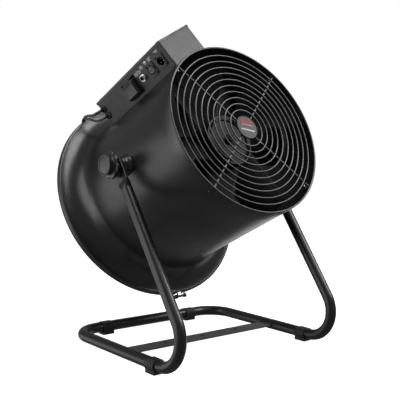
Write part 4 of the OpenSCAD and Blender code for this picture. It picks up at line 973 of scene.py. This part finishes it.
# Each cable's middle line in box millimetres: from its terminal, out of the grommet, over the rim, down the
# inlet guard and forward to the motor
MOTOR_ROUTE = [
    (-18, 224, -62), (-24, 230, -71), (-36, 235, -78), (-49, 236, -80), (-57, 236, -80), (-63, 236.5, -84),
    (-66, 238, -93), (-64, 240, -105), (-56, 243, -122), (-45, 247, -140), (-33, 251, -158), (-22, 256, -177),
    (-12, 260, -196), (-6, 262, -210), (-4, 256, -224), (-4, 240, -229), (-4.5, 205, -229), (-5, 165, -229),
    (-5, 125, -229), (-6, 90, -229), (-9, 70, -227), (-13, 58, -219), (-15, 54, -206), (-18, 48, -180),
    (-19, 42, -150), (-20, 36, -120), (-20, 32, -95), (-20, 31, -82), (-20, 31, -62)]
SPEED_ROUTE = [
    (-29, 208, -54), (-32, 210, -66), (-39, 215, -77), (-49, 217, -80), (-57, 217, -80), (-64, 218, -85),
    (-67, 220, -95), (-66, 223, -108), (-60, 229, -124), (-50, 237, -142), (-39, 244, -160), (-29, 251, -178),
    (-20, 257.5, -196), (-15, 260, -209), (-13.5, 254, -222), (-13.5, 240, -227), (-13.5, 205, -228),
    (-14, 165, -228), (-14, 125, -228), (-14.5, 90, -228), (-19, 70, -226), (-25, 57, -218), (-27, 52, -205),
    (-30, 44, -180), (-31, 35, -150), (-31, 27, -120), (-30, 22, -95), (-30, 20, -82), (-30, 20, -62)]
MOTOR_CABLE_R, SPEED_CABLE_R = 3.5, 2.75
TIE_MID, TIES_V = (-7, -223.2), (178, 98)


def cables():
    for name, route, r, node in (("motor_lead", MOTOR_ROUTE, MOTOR_CABLE_R, "motor_cable"),
                                 ("speed_lead", SPEED_ROUTE, SPEED_CABLE_R, "speed_cable")):
        bm = sweep_tube(smooth_path(route, 10), r, 20)
        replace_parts(build(name, bm, BOX, "jacket", sharp=60), node)
    for n, (v, r) in enumerate(zip(GROMMETS_V, (MOTOR_CABLE_R + 0.15, SPEED_CABLE_R + 0.15))):
        bm = lathe([(r, -4.1), (6.6, -4.1), (7.3, -3.6), (7.3, -2), (6.8, -1.6), (6.8, 0.1), (8.7, 0.1),
                    (9, 0.5), (8.9, 1.5), (8, 2.5), (6.4, 3.1), (r + 0.5, 3.1), (r, 2.6)], 44, closed=True)
        grommet = build(f"cable_grommet_{n}", bm, at_panel(GROMMET_S, v), "rubber")
        if n == 0:
            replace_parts(grommet, "cable_grommets")
    for n, v in enumerate(TIES_V):
        at = BOX @ shift(0, v, 0) @ facing(X, Z, -Y)
        bm = slab(rounded(24, 22, 5, *TIE_MID), [rounded(21.2, 19.2, 3.8, *TIE_MID)], -2, 2)
        tie = build(f"cable_tie_{n}", bm, at, "plastic", bevel=0.3)
        bm = slab(rounded(6, 4.2, 1, TIE_MID[0], -233.0), [], -3, 3)
        build(f"cable_tie_head_{n}", bm, at, "plastic", bevel=0.4)
        if n == 0:
            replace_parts(tie, "cable_ties")


cables()

# ---- Carried-over CAD nodes: only their materials change ----

# motor_shaft and hub_nut take the blade material, whose extra darkness is painted shade, so they read as the
# dark hole in the hub.
CARRIED = {
    "clamp_bolt": "black_zinc", "clamp_nut": "black_zinc", "guard_nuts": "zinc", "motor_bracket": "drum",
    "motor_casing": "cast", "motor_front_cap": "cast", "motor_rear_cap": "cast", "motor_stator": "steel",
    "motor_windings": "copper", "motor_bearings": "nickel", "box_tray": "zinc", "circuit_board": "board",
    "board_spacers": "gold", "power_module": "cast", "run_capacitor": "steel", "terminal_block": "cream",
    "motor_glands": "rubber", "motor_shaft": "blade", "motor_rotor": "steel", "hub_nut": "blade"}
for node, look in CARRIED.items():
    mesh = frame["nodes"][node].data
    mesh.materials.clear()
    mesh.materials.append(M[look])

# ---- Stage: floor, lights and camera ----

def floor():
    """Pale floor that the camera sees, kept out of the object's reflections and bounced light."""
    bm = bmesh.new()
    bmesh.ops.create_grid(bm, x_segments=4, y_segments=4, size=6000)
    obj = build("studio_floor", bm, ROW @ shift(0, 0, -0.2), "floor", None)
    obj.visible_diffuse = obj.visible_glossy = False


def backdrop():
    """White surroundings that only the camera sees, so they add no light or reflections."""
    paper = M["backdrop"] = bpy.data.materials.new("backdrop_white")
    paper.use_nodes = True
    put(paper.node_tree.nodes["Principled BSDF"], {"Base Color": (0, 0, 0, 1), "Specular IOR Level": 0,
                                                   "Emission Color": WHITE, "Emission Strength": 1.0})
    bm = bmesh.new()
    bmesh.ops.create_uvsphere(bm, u_segments=48, v_segments=24, radius=9000)
    obj = build("backdrop", bm, ROW, "backdrop", None)
    obj.visible_diffuse = obj.visible_glossy = obj.visible_transmission = False
    obj.visible_volume_scatter = obj.visible_shadow = False


def view_from(azimuth, elevation):
    """Direction from the object to a viewer, in degrees round from the front and up."""
    a, e = math.radians(azimuth), math.radians(elevation)
    return Vector((math.sin(a) * math.cos(e), -math.cos(a) * math.cos(e), math.sin(e)))


def softbox(name, height, azimuth, elevation, distance, size, power):
    """Area light that looks at a point above the frame's origin."""
    back = view_from(azimuth, elevation)
    data = bpy.data.lights.new(name, "AREA")
    data.shape = "RECTANGLE"
    data.size, data.size_y = size
    data.energy = power
    obj = bpy.data.objects.new(name, data)
    bpy.context.scene.collection.objects.link(obj)
    obj.location = Vector((0, 0, height)) + back * distance
    obj.rotation_mode = "QUATERNION"
    obj.rotation_quaternion = (-back).to_track_quat("-Z", "Y")


floor()
backdrop()
softbox("overhead", 0.45, 10, 74, 1.9, (1.3, 1.3), 38)
softbox("front_right", 0.5, 47, 33, 2.2, (1.0, 1.0), 37)
softbox("left_bank", 0.35, -98, 14, 2.2, (1.4, 2.2), 26)
softbox("left_back", 0.3, -132, -12, 2.2, (2.4, 1.2), 12)
softbox("back_right", 0.3, 112, -20, 2.2, (1.4, 1.0), 5)

world = bpy.data.worlds.new("studio")
bpy.context.scene.world = world
world.use_nodes = True
put(world.node_tree.nodes["Background"], {"Color": WHITE, "Strength": 0.22})
bpy.context.scene.view_settings.view_transform = "Standard"

AZIMUTH, ELEVATION, ROLL = -39.094, 2.808, math.radians(0.671)
back = view_from(AZIMUTH, ELEVATION)
right = Vector((math.cos(math.radians(AZIMUTH)), math.sin(math.radians(AZIMUTH)), 0))
up = back.cross(right)
camera_data = bpy.data.cameras.new("camera")
camera_data.sensor_width = 36
camera_data.lens = 63.88
camera_data.shift_x = 0.0033
camera_data.shift_y = -0.0244
camera_data.clip_start = 0.05
camera = bpy.data.objects.new("camera", camera_data)
bpy.context.scene.collection.objects.link(camera)
pose = facing(right * math.cos(ROLL) + up * math.sin(ROLL), up * math.cos(ROLL) - right * math.sin(ROLL), back)
pose.translation = (-1.04844, PIVOT.y - 1.29569, 0.44190)
camera.matrix_world = pose
bpy.context.scene.camera = camera
